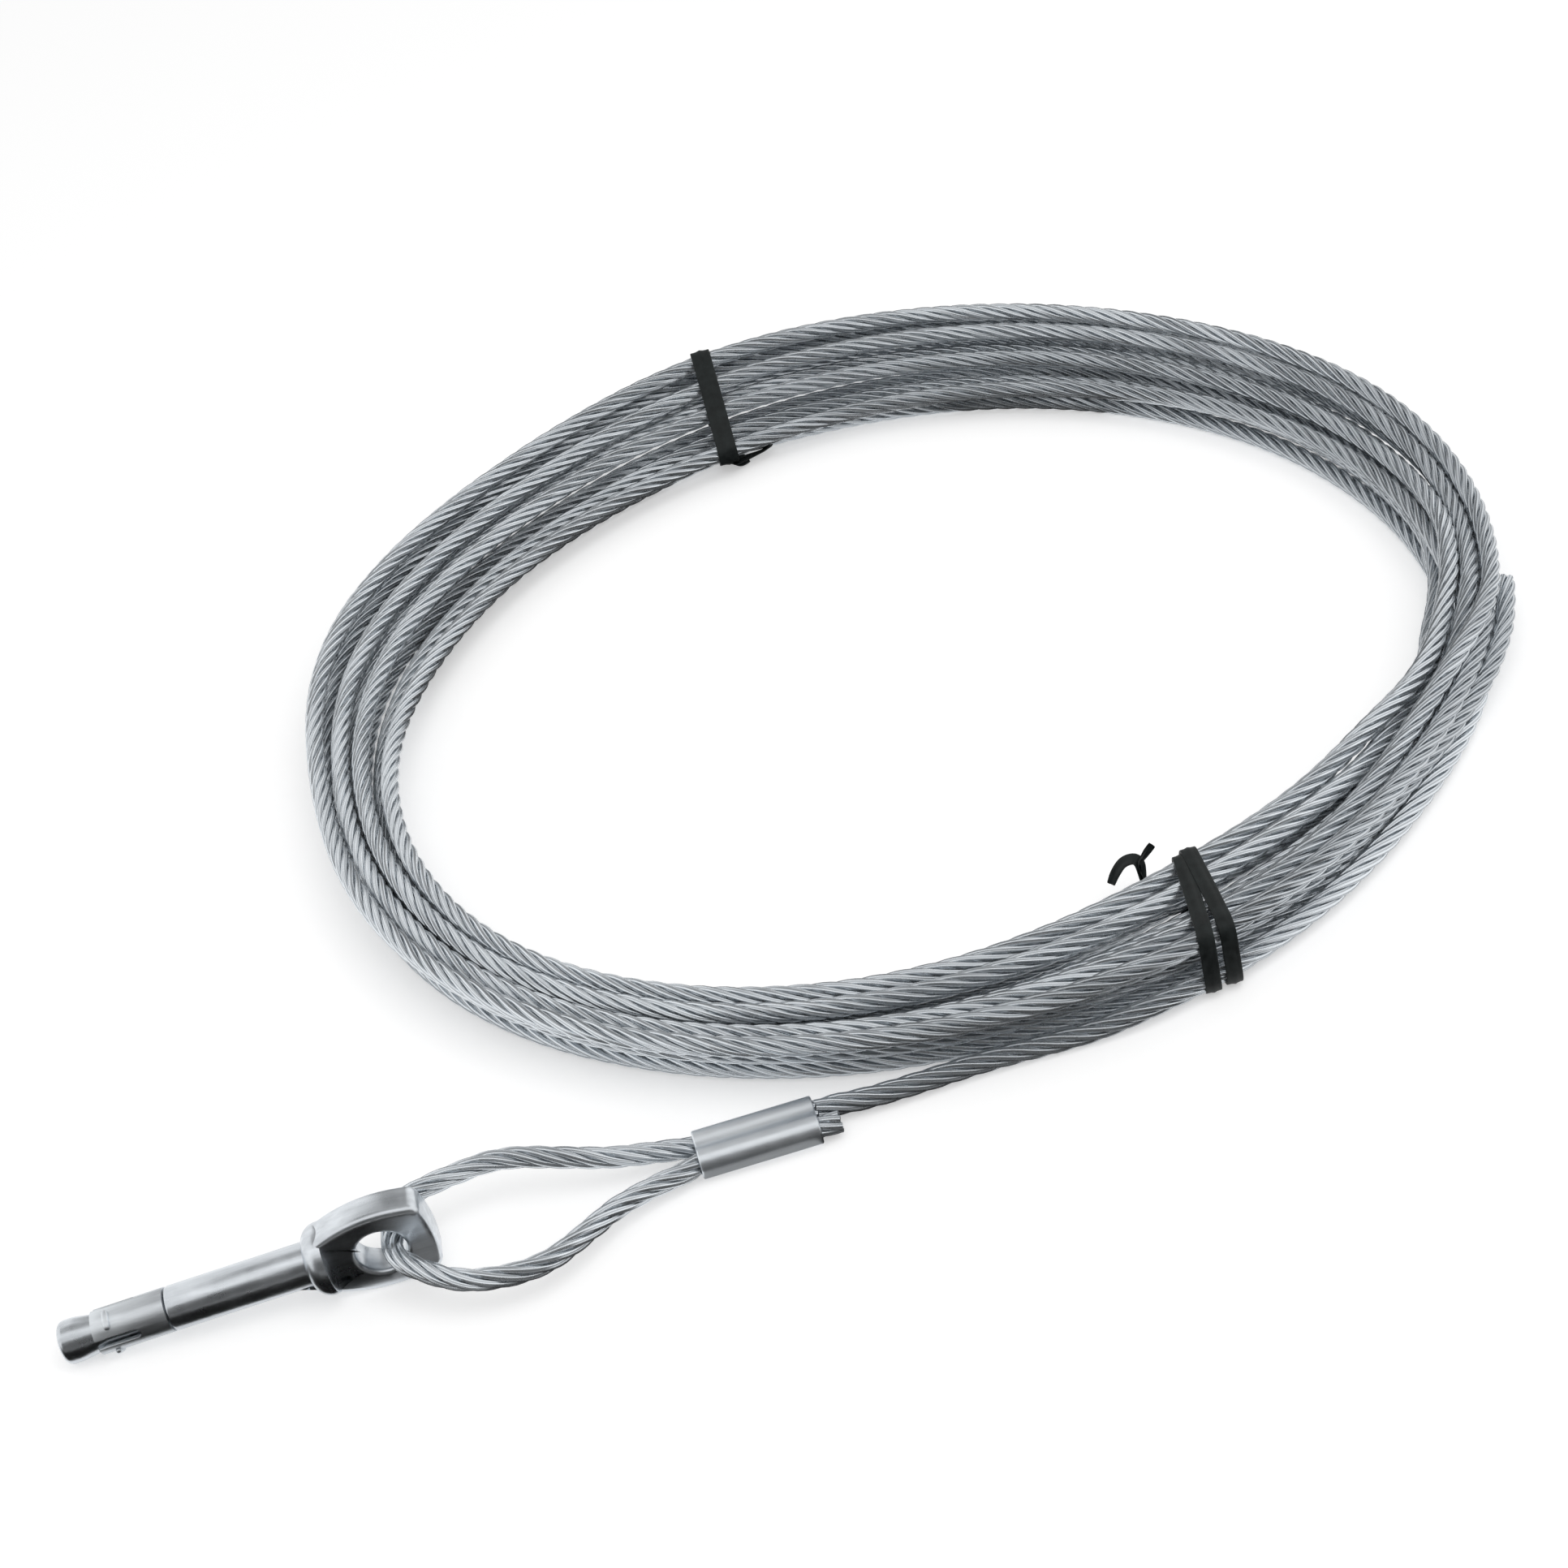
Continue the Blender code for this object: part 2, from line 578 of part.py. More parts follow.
def inner_wall(angle, share):
    """Radius and height at the inner tip of a band's oval, at a share of its wall from the bundle."""
    radius, height, width, _, tilt = bundle_at(angle)
    reach = width / 2 + TIE_CLEARANCE + TIE_THICKNESS * share
    return radius - reach * math.cos(tilt), height - reach * math.sin(tilt)


def tie_wire(name, route, cutters, diameter=TIE_WIRE_DIA):
    """A loose end of a tie, as a cutter body that its band takes in."""
    wire = tube(name, route, diameter / 2, cutters, None, spacing=1.2 * MM)
    return mark_cutter(apply_all(wire))


def front_tie(group, cutters, finish):
    """Band with a twisted pigtail that opens into two arms."""
    band = tie_band("front_tie", FRONT_TIE_ANGLE, FRONT_TIE_WIDTH, group)
    band.data.materials.append(finish)
    start = Vector(ring_point(FRONT_TIE_ANGLE, *inner_wall(FRONT_TIE_ANGLE, 1)))
    root = Vector(PIGTAIL_ROOT)
    trunk = tie_wire("pigtail_trunk", [start, start.lerp(root, 0.5), root], cutters, PIGTAIL_TRUNK_DIA)
    boolean(band, "UNION", trunk)
    for k, end in enumerate(PIGTAIL_ENDS):
        wire = tie_wire(f"pigtail_{k + 1}", [start.lerp(root, 0.7), root, Vector(end)], cutters)
        boolean(band, "UNION", wire)
    return band


def back_tie(group, cutters, finish):
    """Band with two short ends low on the inner side."""
    band = tie_band("back_tie", BACK_TIE_ANGLE, BACK_TIE_WIDTH, group)
    band.data.materials.append(finish)
    wall, low = inner_wall(BACK_TIE_ANGLE, 0.5)
    for k, spread in enumerate((-1, 1)):
        angles = [BACK_TIE_ANGLE + spread * turn / wall for turn in (0.9 * MM, 1.2 * MM, 2.2 * MM)]
        radii = [wall, wall - BACK_TIE_END_LENGTH / 2, wall - BACK_TIE_END_LENGTH]
        heights = [low, low - 0.6 * MM, low - 1.1 * MM]
        route = [ring_point(*place) for place in zip(angles, radii, heights)]
        boolean(band, "UNION", tie_wire(f"back_tie_end_{k + 1}", route, cutters))
    return band


def main():
    clear_scene()
    parts = collection("wire_rope_hanger")
    cutters = collection("cutters")
    steel = material("zinc_plated_steel", (0.60, 0.62, 0.66), 0.22, 1.0)
    clip_steel = material("clip_steel", (0.56, 0.58, 0.62), 0.28, 1.0)
    sleeve_metal = material("ferrule_metal", (0.70, 0.71, 0.74), 0.30, 1.0)
    galvanised = material("galvanised_wire", (0.42, 0.45, 0.49), 0.42, 0.9)
    black = material("tie_plastic", (0.02, 0.022, 0.024), 0.5, 0.0)

    # The bolt's axis leans down to its cone from the place where the rope crosses the eye
    swing = bpy.data.objects.new("eye_swing", None)
    parts.objects.link(swing)
    swing.location = pivot
    swing.rotation_euler = (0, math.radians(90) - lean, 0)

    bolt = anchor_bolt(parts, cutters, steel, swing)
    clip = expansion_clip(parts, cutters, clip_steel, swing)
    rope_loop(parts, cutters, galvanised)
    sleeve = ferrule(parts, cutters, sleeve_metal)
    rope_lead(parts, galvanised)
    rope_coil(parts, galvanised)
    rope_free_end(parts, galvanised)
    front_tie(parts, cutters, black)
    back_tie(parts, cutters, black)
    for piece in (bolt, clip, sleeve):
        shade(piece)


main()
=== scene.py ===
import math

import bmesh
import bpy
import numpy as np
from mathutils import Matrix, Vector
from mathutils.kdtree import KDTree


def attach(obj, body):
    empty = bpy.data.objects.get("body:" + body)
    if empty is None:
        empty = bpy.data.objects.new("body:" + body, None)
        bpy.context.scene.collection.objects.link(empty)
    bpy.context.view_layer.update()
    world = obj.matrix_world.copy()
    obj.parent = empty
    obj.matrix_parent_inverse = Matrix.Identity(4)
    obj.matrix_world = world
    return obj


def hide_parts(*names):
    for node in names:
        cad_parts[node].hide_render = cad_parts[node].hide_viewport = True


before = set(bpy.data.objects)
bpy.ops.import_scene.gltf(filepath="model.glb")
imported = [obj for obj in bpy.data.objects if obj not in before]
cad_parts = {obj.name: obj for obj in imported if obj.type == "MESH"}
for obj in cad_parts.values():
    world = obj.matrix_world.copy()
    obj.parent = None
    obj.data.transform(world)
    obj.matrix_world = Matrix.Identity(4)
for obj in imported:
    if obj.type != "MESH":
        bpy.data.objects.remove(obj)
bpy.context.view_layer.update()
mm = 0.001
print("frame loaded")


def newObject(name, data):
    made = bpy.data.objects.new(name, data)
    bpy.context.scene.collection.objects.link(made)
    return made


def meshFrom(made, name):
    mesh = bpy.data.meshes.new(name)
    made.to_mesh(mesh)
    made.free()
    return mesh


camera = {
    "aim": (60.6, 87.6, 0.0),  # millimetres
    "azimuth": 0.71,  # degrees, as the next two
    "elevation": 36.91,
    "roll": 14.24,
    "distance": 500.0,
    "lens": 71.37,
    "sensor": 36,
    "clip": (0.01, 20),  # metres
}


def addCamera():
    turn, tilt, roll = (math.radians(camera[key]) for key in ("azimuth", "elevation", "roll"))
    forward = Vector((math.sin(turn) * math.cos(tilt), math.cos(turn) * math.cos(tilt), -math.sin(tilt)))
    right = Vector((math.cos(turn), -math.sin(turn), 0))
    up = right.cross(forward)
    side = right * math.cos(roll) - up * math.sin(roll)
    top = right * math.sin(roll) + up * math.cos(roll)
    data = bpy.data.cameras.new("camera")
    data.lens = camera["lens"]
    data.sensor_width = camera["sensor"]
    data.clip_start, data.clip_end = camera["clip"]
    made = newObject("camera", data)
    place = Vector(camera["aim"]) * mm - forward * camera["distance"] * mm
    made.matrix_world = Matrix.Translation(place) @ Matrix((side, top, -forward)).transposed().to_4x4()
    bpy.context.scene.camera = made


addCamera()
print("camera placed")

pivot = (-7.75, 1.2, 6.9347)  # where the rope crosses the anchor's eye, in millimetres

rope = {
    "diameter": 3.2,
    "lay": 22.0,  # one turn of an outer strand
    "wireLay": 8.5,  # one turn of a wire in its strand, laid the other way
    "outerStrands": 6,
    "outerWires": 6,  # of each strand
    "step": 1.2,  # along the rope, between two rings of the mesh
    "roundness": 2,  # of a strand: twice this and four more sides
    "mapUnit": 10,  # millimetres of rope to one unit of its UV map
    "coreRings": 12,  # rings of the core strand that are made at the bare end
}

# The lead out of the ferrule, by the points of its route in millimetres
lead = {
    "ferruleMiddle": (43.85, 6.7, 2.3),
    "ferruleYaw": math.radians(3.0),
    "ferruleLength": 17.5,
    "lobeOffset": 1.725,  # of each rope from the ferrule's middle line
    "gap": 0.3,  # from the ferrule's end to where this piece of rope starts
    "straight": 3.3,  # from the ferrule's end to where it may bend
    "step": 1.0,
    "route": [(59.7, 8.9, 2.2), (63.8, 9.1, 2.1), (69.8, 9.6, 2.0), (75.9, 10.2, 1.9), (81.8, 10.5, 1.8),
              (87.7, 10.6, 1.7), (93.7, 10.8, 1.8), (99.6, 11.3, 2.4), (105.6, 12.4, 2.9)],
}

coil = {
    "centre": (83.1, 109.1),
    "turns": 10,
    "joinReach": 20,  # degrees in which the lead goes over into the bundle
    "endAngle": -15.2,
    "endPlace": (99.8, 6.2),  # radius and height of the bare end, which stands a little off the bundle
    "endReach": 26,  # degrees in which it leaves the bundle
    "samples": 240,  # to a turn
    "spacing": 3.25,  # between two turns that touch
    "shift": (-55.0, 5.0),  # where each turn goes over to its next place in the bundle
    # The bundle at some angles: radius, height, width, depth and how far its outer side is tipped up
    "sections": [
        (-140, 94.0, 5.3, 11.5, 10.0, 0), (-105, 92.8, 5.5, 14.5, 10.0, 0), (-70.6, 90.3, 6.0, 20.5, 10.2, -2),
        (-55, 90.2, 5.9, 17.0, 10.2, -1), (-40, 91.0, 5.5, 7.0, 10.0, 0), (-16, 94.4, 5.4, 6.5, 10.0, 2),
        (10, 93.2, 6.0, 16.5, 9.0, 14), (45, 88.4, 7.0, 18.6, 8.9, 27), (99.6, 87.8, 7.9, 23.5, 9.5, 31),
        (125, 87.2, 7.2, 20.0, 9.5, 29), (160, 92.0, 6.0, 21.3, 9.1, 20), (180, 90.2, 5.5, 12.5, 9.7, 7),
    ],
    "softening": 41,  # half degrees over which one section runs into the next, an odd number
    # Places in a close bundle of three rows, in the order in which the turns take them: outwards and up
    "places": [(4.5, -2.77), (2.9, -2.77), (-1, -2.77), (-4.8, -2.77), (-3.65, 0), (-4.8, 2.77), (-1.41, 2.77),
               (0, 0), (1.9, 2.77), (4.8, 2.77), (3.77, 0), (6.4, 0)],
    "closeWidth": 12.8,  # of that close bundle
    "closeDepth": 8.74,
    "wander": 0.67,  # of a turn from its place, outwards
    "upWander": 0.6,  # share of that which it wanders up
    "acrossWaves": [(1.31, 0.4), (0.77, 2.1)],  # the wander's two waves: how many to a turn, and the start
    "upWaves": [(1.13, 1.9), (0.59, 0.7)],
    "slowWave": 0.7,  # height of the second wave against the first
    "floorGap": 0.02,
    "ties": [(-70.6, 0.6), (99.6, 0.7)],  # where a tie passes under the bundle, and how much it lifts it
    "tieReach": 7,  # degrees to each side of a tie over which the rope is lifted
}

# How the turns are settled beside each other, over some rounds
settling = {
    "rounds": 260,
    "pulledRounds": 200,  # in which each turn is drawn back to its place
    "pull": 0.06,
    "push": 0.8,  # share of an overlap that one round takes away
    "smoothedRounds": 250,
    "smoothing": 0.25,
}


def distances(points):
    # Of each point of a line from the first, along the line
    return np.r_[0, np.cumsum(np.linalg.norm(np.diff(points, axis=0), axis=1))]


def evenly(points, count, closed=False):
    # So many evenly spaced points along a line, or round a closed one
    points = np.asarray(points, float)
    if closed:
        points = np.vstack([points, points[:1]])
    lengths = distances(points)
    wanted = np.linspace(0, lengths[-1], count, endpoint=not closed)
    return np.stack([np.interp(wanted, lengths, column) for column in points.T], axis=1)


def smoothCurve(points, spacing):
    # Evenly spaced points on a smooth curve through the given ones
    points = np.asarray(points, float)
    padded = np.vstack([2 * points[0] - points[1], points, 2 * points[-1] - points[-2]])
    t = np.linspace(0, 1, 24, endpoint=False)[:, None]
    fine = []
    for a, b, c, d in zip(padded, padded[1:], padded[2:], padded[3:]):
        fine.append(0.5 * (2 * b + (c - a) * t + (2 * a - 5 * b + 4 * c - d) * t ** 2
                           + (3 * b - a - 3 * c + d) * t ** 3))
    fine = np.vstack(fine + [points[-1:]])
    return evenly(fine, max(3, round(distances(fine)[-1] / spacing) + 1))


def eased(share):
    return share * share * (3 - 2 * share)


def ferrulePoint(side, along):
    # side +1 is the lead's lobe, -1 the cut tail's; along is from the ferrule's middle
    yaw = lead["ferruleYaw"]
    ahead = np.array([math.cos(yaw), math.sin(yaw), 0])
    across = np.array([-math.sin(yaw), math.cos(yaw), 0])
    return np.array(lead["ferruleMiddle"]) + side * lead["lobeOffset"] * across + along * ahead


def sectionsAt(angles):
    # Radius, height, width, depth and tilt of the bundle, softened between the sections of the table
    table = np.array(coil["sections"], float)
    around = np.linspace(-180, 180, 720, endpoint=False)
    window = np.hanning(coil["softening"])
    margin = coil["softening"] // 2
    found = []
    for column in table[:, 1:].T:
        values = np.interp(around, table[:, 0], column, period=360)
        ringed = np.r_[values[-margin:], values, values[:margin]]
        softened = np.convolve(ringed, window / window.sum(), mode="valid")
        found.append(np.interp(angles, around, softened, period=360))
    return found


def wander(turn, waves):
    (quick, quickStart), (slow, slowStart) = waves
    return coil["wander"] * (np.sin(quick * turn + quickStart) + np.sin(slow * turn + slowStart) * coil["slowWave"])


def bundlePlaces(angles, wrapped):
    # Radius and height of each sample in the bundle, its place moved on by one for each turn
    radius, height, width, depth, tilt = sectionsAt(wrapped)
    tilt = np.radians(tilt)
    low, high = coil["shift"]
    done = np.floor((angles - low) / 360)
    share = np.clip((angles - low - 360 * done) / (high - low), 0, 1)
    order = np.clip(done + eased(share), 0, len(coil["places"]) - 1)
    places = np.array(coil["places"], float)
    index = np.arange(len(places))
    thick = rope["diameter"]
    across = np.interp(order, index, places[:, 0]) * (width - thick) / (coil["closeWidth"] - thick)
    upward = np.interp(order, index, places[:, 1]) * (depth - thick) / (coil["closeDepth"] - thick)
    turn = np.radians(angles)
    across += wander(turn, coil["acrossWaves"])
    upward += wander(turn, coil["upWaves"]) * coil["upWander"]
    return np.stack([radius + across * np.cos(tilt) - upward * np.sin(tilt),
                     height + across * np.sin(tilt) + upward * np.cos(tilt)], axis=1)


def settled(aim, loose, floor):
    # Turns that overlap are pushed apart until they touch, and kept off the floor
    place = aim.copy()
    count = coil["samples"]
    for stage in range(settling["rounds"]):
        if stage < settling["pulledRounds"]:
            place += loose * settling["pull"] * (aim - place)
        for gap in range(count, len(place), count):
            first, second = place[:-gap], place[gap:]
            apart = second - first
            distance = np.linalg.norm(apart, axis=1, keepdims=True) + 1e-9
            push = np.clip(coil["spacing"] - distance, 0, None) * apart / distance
            share = loose[:-gap] / (loose[:-gap] + loose[gap:] + 1e-9)
            first -= push * share * settling["push"]
            second += push * (1 - share) * settling["push"]
        place[:, 1] = np.maximum(place[:, 1], floor)
        if stage < settling["smoothedRounds"]:
            inner = place[1:-1] + settling["smoothing"] * (place[:-2] - 2 * place[1:-1] + place[2:])
            place[1:-1] = np.where(loose[1:-1] > 0, inner, place[1:-1])
    return place


def coilPath():
    # The rope from the ferrule to its bare end, as samples by angle, each with a radius and a height
    centre = np.array(coil["centre"])
    ferruleEnd = lead["ferruleLength"] / 2
    start = [ferrulePoint(1, ferruleEnd + lead[key]) for key in ("gap", "straight")]
    leadPoints = smoothCurve(start + lead["route"], lead["step"])
    offset = leadPoints[:, :2] - centre
    leadAngles = np.degrees(np.arctan2(offset[:, 1], offset[:, 0]))
    first, join = leadAngles[0], leadAngles[-1]
    last = coil["endAngle"] + 360 * coil["turns"]
    angles = first + np.arange(int((last - first) / 360 * coil["samples"]) + 1) * 360 / coil["samples"]
    angles[-1] = last
    wrapped = (angles + 180) % 360 - 180

    # The lead is held to its route as far as the bundle, and the bare end leaves it again
    onLead = np.stack([np.interp(angles, leadAngles, values)
                       for values in (np.linalg.norm(offset, axis=1), leadPoints[:, 2])], axis=1)
    joined = eased(np.clip((angles - join) / coil["joinReach"], 0, 1))[:, None]
    aim = onLead * (1 - joined) + bundlePlaces(angles, wrapped) * joined
    ending = eased(np.clip((angles - last + coil["endReach"]) / coil["endReach"], 0, 1))[:, None]
    aim = aim * (1 - ending) + np.array(coil["endPlace"]) * ending

    floor = np.full(len(angles), rope["diameter"] / 2 + coil["floorGap"])
    for spot, lift in coil["ties"]:
        floor += lift * np.exp(-(((wrapped - spot + 180) % 360 - 180) / coil["tieReach"]) ** 2)
    radius, height = settled(aim, (angles > join).astype(float)[:, None], floor).T
    turn = np.radians(angles)
    points = np.stack([centre[0] + radius * np.cos(turn), centre[1] + radius * np.sin(turn), height], axis=1)
    points[0] = leadPoints[0]
    return points


ropePath = smoothCurve(coilPath(), rope["step"])


def carried(points):
    # Tangent, and two normals that don't turn about it, at each point of a path
    ahead = np.gradient(points, axis=0)
    ahead /= np.linalg.norm(ahead, axis=1, keepdims=True)
    first = np.zeros_like(points)
    side = np.cross(ahead[0], (0, 0, 1))
    side /= np.linalg.norm(side)
    for k, direction in enumerate(ahead):
        side = side - direction * np.dot(side, direction)
        side = side / np.linalg.norm(side)
        first[k] = side
    return ahead, first, np.cross(ahead, first)


def mapStrands(mesh, along, lines, outs, arounds):
    # A UV map of the distance along each strand, and of the angle round it from its outer side
    corners = np.empty(len(mesh.vertices) * 3, np.float32)
    mesh.vertices.foreach_get("co", corners)
    corners = corners.reshape(-1, 3) / mm
    sides = 4 + 2 * rope["roundness"]
    ring = np.minimum(np.arange(len(corners)) // sides, len(lines) - 1)
    reach = corners - lines[ring]
    angle = np.arctan2((reach * arounds[ring]).sum(1), (reach * outs[ring]).sum(1)) / (2 * math.pi)
    loops = np.empty(len(mesh.loops), np.int32)
    mesh.loops.foreach_get("vertex_index", loops)
    starts = np.empty(len(mesh.polygons), np.int32)
    mesh.polygons.foreach_get("loop_start", starts)
    turned = angle[loops]
    ofFace = np.repeat(turned[starts], np.diff(np.r_[starts, len(loops)]))
    turned = turned - np.round(turned - ofFace)  # no face spans the whole turn
    layer = mesh.uv_layers.new(name="strand")
    layer.data.foreach_set("uv", np.c_[along[ring][loops] / rope["mapUnit"], turned].astype(np.float32).ravel())


def strandMesh(name, middle, numbers):
    # Some of the rope's strands round its middle line, as bevelled lines; the core strand has the number -1
    ahead, first, second = carried(middle)
    along = distances(middle)
    thick = rope["diameter"] / 6  # radius of a strand, three of which lie across the rope
    lines, outs, arounds = [], [], []
    curve = bpy.data.curves.new(name, "CURVE")
    curve.dimensions = "3D"
    curve.bevel_depth = thick * mm
    curve.bevel_resolution = rope["roundness"]
    curve.use_fill_caps = True
    curve.twist_mode = "MINIMUM"
    for number in numbers:
        turn = 2 * math.pi * (along / rope["lay"] + number / rope["outerStrands"])
        out = np.cos(turn)[:, None] * first + np.sin(turn)[:, None] * second
        line = middle + out * thick * 2 if number >= 0 else middle
        spline = curve.splines.new("POLY")
        spline.points.add(len(line) - 1)
        spline.points.foreach_set("co", np.c_[line * mm, np.ones(len(line))].astype(np.float32).ravel())
        spline.use_smooth = True
        lines.append(line)
        outs.append(out)
        arounds.append(np.cross(ahead, out))
    holder = newObject(name, curve)
    mesh = bpy.data.meshes.new_from_object(holder.evaluated_get(bpy.context.evaluated_depsgraph_get()))
    bpy.data.objects.remove(holder)
    mesh.name = name
    mapStrands(mesh, np.tile(along, len(numbers)), np.vstack(lines), np.vstack(outs), np.vstack(arounds))
    mesh.shade_smooth()
    return mesh


def newPiece(name, mesh, material, body):
    made = newObject(name, mesh)
    mesh.materials.clear()
    mesh.materials.append(material)
    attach(made, body)
    return made


class Wire:
    # One socket of a node tree. Sums and products of them become Math nodes.
    def __init__(self, tree, socket=None):
        self.tree = tree
        self.socket = socket

    def node(self, kind, inputs=None, output=0, **settings):
        made = self.tree.nodes.new("ShaderNode" + kind)
        for key, value in settings.items():
            setattr(made, key, value)
        for key, value in (inputs or {}).items():
            if isinstance(value, Wire):
                self.tree.links.new(value.socket, made.inputs[key])
            else:
                made.inputs[key].default_value = value
        return Wire(self.tree, made.outputs[output] if made.outputs else None)

    def beside(self, output):
        # Another output of the same node
        return Wire(self.tree, self.socket.node.outputs[output])

    def math(self, operation, *others):
        return self.node("Math", dict(enumerate((self,) + others)), operation=operation)

    def __add__(self, other):
        return self.math("ADD", other)

    def __mul__(self, other):
        return self.math("MULTIPLY", other)

    __radd__ = __add__
    __rmul__ = __mul__


def newMaterial(name):
    # A material, its shader, and the place on the object
    material = bpy.data.materials.new(name)
    material.use_nodes = True
    tree = material.node_tree
    return material, tree.nodes["Principled BSDF"], Wire(tree).node("TexCoord", output="Object")


def join(wire, shader, name):
    wire.tree.links.new(wire.socket, shader.inputs[name])


def between(factor, low, high):
    # A colour between two, by a factor
    return factor.node("Mix", {0: factor, 6: (*low, 1), 7: (*high, 1)}, 2, data_type="RGBA")


def ramp(wire, low, high):
    return wire.node("MapRange", {0: wire, 1: low, 2: high})


def noise(place, scale, detail, roughness=0.5):
    return place.node("TexNoise", {"Vector": place, "Scale": scale, "Detail": detail, "Roughness": roughness})


def streaks(place, scales, detail):
    # Noise drawn out along X, with a scale for each axis
    return noise(place.node("Mapping", {"Vector": place, "Scale": scales}), 1.0, detail)


def mixed(first, second, share):
    return first * share + second * (1 - share)


def wave(phase):
    return phase.math("COSINE") * 0.5 + 0.5


def dress(shader, look, tone, grain, height):
    # Colour by the tone, roughness by the grain, and a bump by the height
    join(between(tone, look["dark"], look["light"]), shader, "Base Color")
    join(grain * look["rough"] + look["smoothest"], shader, "Roughness")
    shader.inputs["Metallic"].default_value = look["metal"]
    bump = {"Height": height, "Strength": look["bump"], "Distance": look["bumpDepth"]}
    join(height.node("Bump", bump), shader, "Normal")


ropeLook = {
    # dark is painted shade, in the grooves between the wires and on each strand's inner side; light is the wires'
    # crowns and the strands' outer sides
    "dark": (0.24, 0.26, 0.28),
    "light": (0.86, 0.905, 0.945),
    "crown": (0.1, 0.75),  # of each wire: where it starts to be light, and where it is fully light, the grooves between the wires being painted dark as painted shade
    "wireGrooveShadeShare": 0.6,
    "side": (0.25, 0.7),  # the same of a strand's outer side, its inner side where the strands meet being painted dark as painted shade
    "strandInnerShadeShare": 0.4,
    "patches": 60.0,
    "patchStrength": 0.5,
    "clouds": 420.0,
    "smoothest": 0.16,
    "rough": 0.22,
    "metal": 0.85,
    "bump": 0.4,
    "bumpDepth": 0.00014,  # metres
}


def ropeFinish():
    look = ropeLook
    material, shader, place = newMaterial("drawnRopeWire")
    along = place.node("SeparateXYZ", {0: place.beside("UV")})
    around = along.beside(1)
    twist = around + along * (rope["mapUnit"] / rope["wireLay"])
    crown = wave(twist * (rope["outerWires"] * 2 * math.pi))
    side = wave(around * (2 * math.pi))
    # Painted shade: darker in the grooves between the wires and on each strand's inner side, lighter on the crowns
    # and outer sides; the patches are the wire's own uneven tone, and the crown also gives the bump's height
    light = ramp(crown, *look["crown"]) * look["wireGrooveShadeShare"] + ramp(side, *look["side"]) * look["strandInnerShadeShare"]
    patches = noise(place, look["patches"], 2.0) * look["patchStrength"] + (1 - look["patchStrength"] / 2)
    dress(shader, look, light * patches, noise(place, look["clouds"], 3.0), crown)
    return material


anchorLook = {
    "dark": (0.54, 0.57, 0.6),
    "light": (0.85, 0.89, 0.93),
    "streaks": (60.0, 900.0, 900.0),
    "blotches": 240.0,
    "streakShare": 0.6,
    "contrast": (0.32, 0.7),
    "smoothest": 0.19,
    "rough": 0.22,
    "metal": 1.0,
    "bump": 0.2,
    "bumpDepth": 0.0002,
}


def anchorFinish():
    material, shader, place = newMaterial("brightZinc")
    blotches = noise(place, anchorLook["blotches"], 4.0, 0.6)
    pattern = mixed(streaks(place, anchorLook["streaks"], 4.0), blotches, anchorLook["streakShare"])
    dress(shader, anchorLook, ramp(pattern, *anchorLook["contrast"]), blotches, pattern)
    return material


clipLook = {
    "dark": (0.62, 0.65, 0.68),
    "light": (0.9, 0.94, 0.97),
    "streaks": (90.0, 700.0, 700.0),
    "contrast": (0.3, 0.7),
    "smoothest": 0.33,
    "rough": 0.25,
    "metal": 1.0,
    "bump": 0.3,
    "bumpDepth": 0.00015,
}


def clipFinish():
    material, shader, place = newMaterial("rolledClipSteel")
    rolled = streaks(place, clipLook["streaks"], 3.0)
    dress(shader, clipLook, ramp(rolled, *clipLook["contrast"]), rolled, rolled)
    return material


ferruleLook = {
    "dark": (0.72, 0.76, 0.8),
    "light": (0.9, 0.94, 0.97),
    "streaks": (50.0, 600.0, 600.0),
    "spots": 500.0,
    "streakShare": 0.5,
    "contrast": (0.3, 0.7),
    "smoothest": 0.32,
    "rough": 0.2,
    "metal": 1.0,
    "bump": 0.25,
    "bumpDepth": 0.00012,
}


def ferruleFinish():
    material, shader, place = newMaterial("pressedAluminium")
    pressed = streaks(place, ferruleLook["streaks"], 3.0)
    spots = noise(place, ferruleLook["spots"], 3.0)
    height = mixed(pressed, spots, ferruleLook["streakShare"])
    dress(shader, ferruleLook, ramp(pressed, *ferruleLook["contrast"]), spots, height)
    return material


tieLook = {
    "dark": (0.005, 0.007, 0.007),
    "light": (0.014, 0.018, 0.018),
    "grain": 700.0,
    "contrast": (0.3, 0.7),
    "smoothest": 0.42,
    "rough": 0.2,
    "metal": 0.0,
    "shine": 0.3,
    "bump": 0.3,
    "bumpDepth": 0.0001,
}


def tieFinish():
    material, shader, place = newMaterial("blackTiePlastic")
    grain = noise(place, tieLook["grain"], 3.0)
    dress(shader, tieLook, ramp(grain, *tieLook["contrast"]), grain, grain)
    shader.inputs["Specular IOR Level"].default_value = tieLook["shine"]
    return material


ropeWire = ropeFinish()
tiePlastic = tieFinish()
print("finishes mixed")

strandMeshes = [strandMesh(f"rope_strands_{k + 1}", ropePath, (2 * k, 2 * k + 1))
                for k in range(rope["outerStrands"] // 2)]
strandMeshes.append(strandMesh("rope_core_end", ropePath[-rope["coreRings"]:], [-1]))
strands = [newPiece(mesh.name, mesh, ropeWire, "rope") for mesh in strandMeshes]
print("rope strands made")

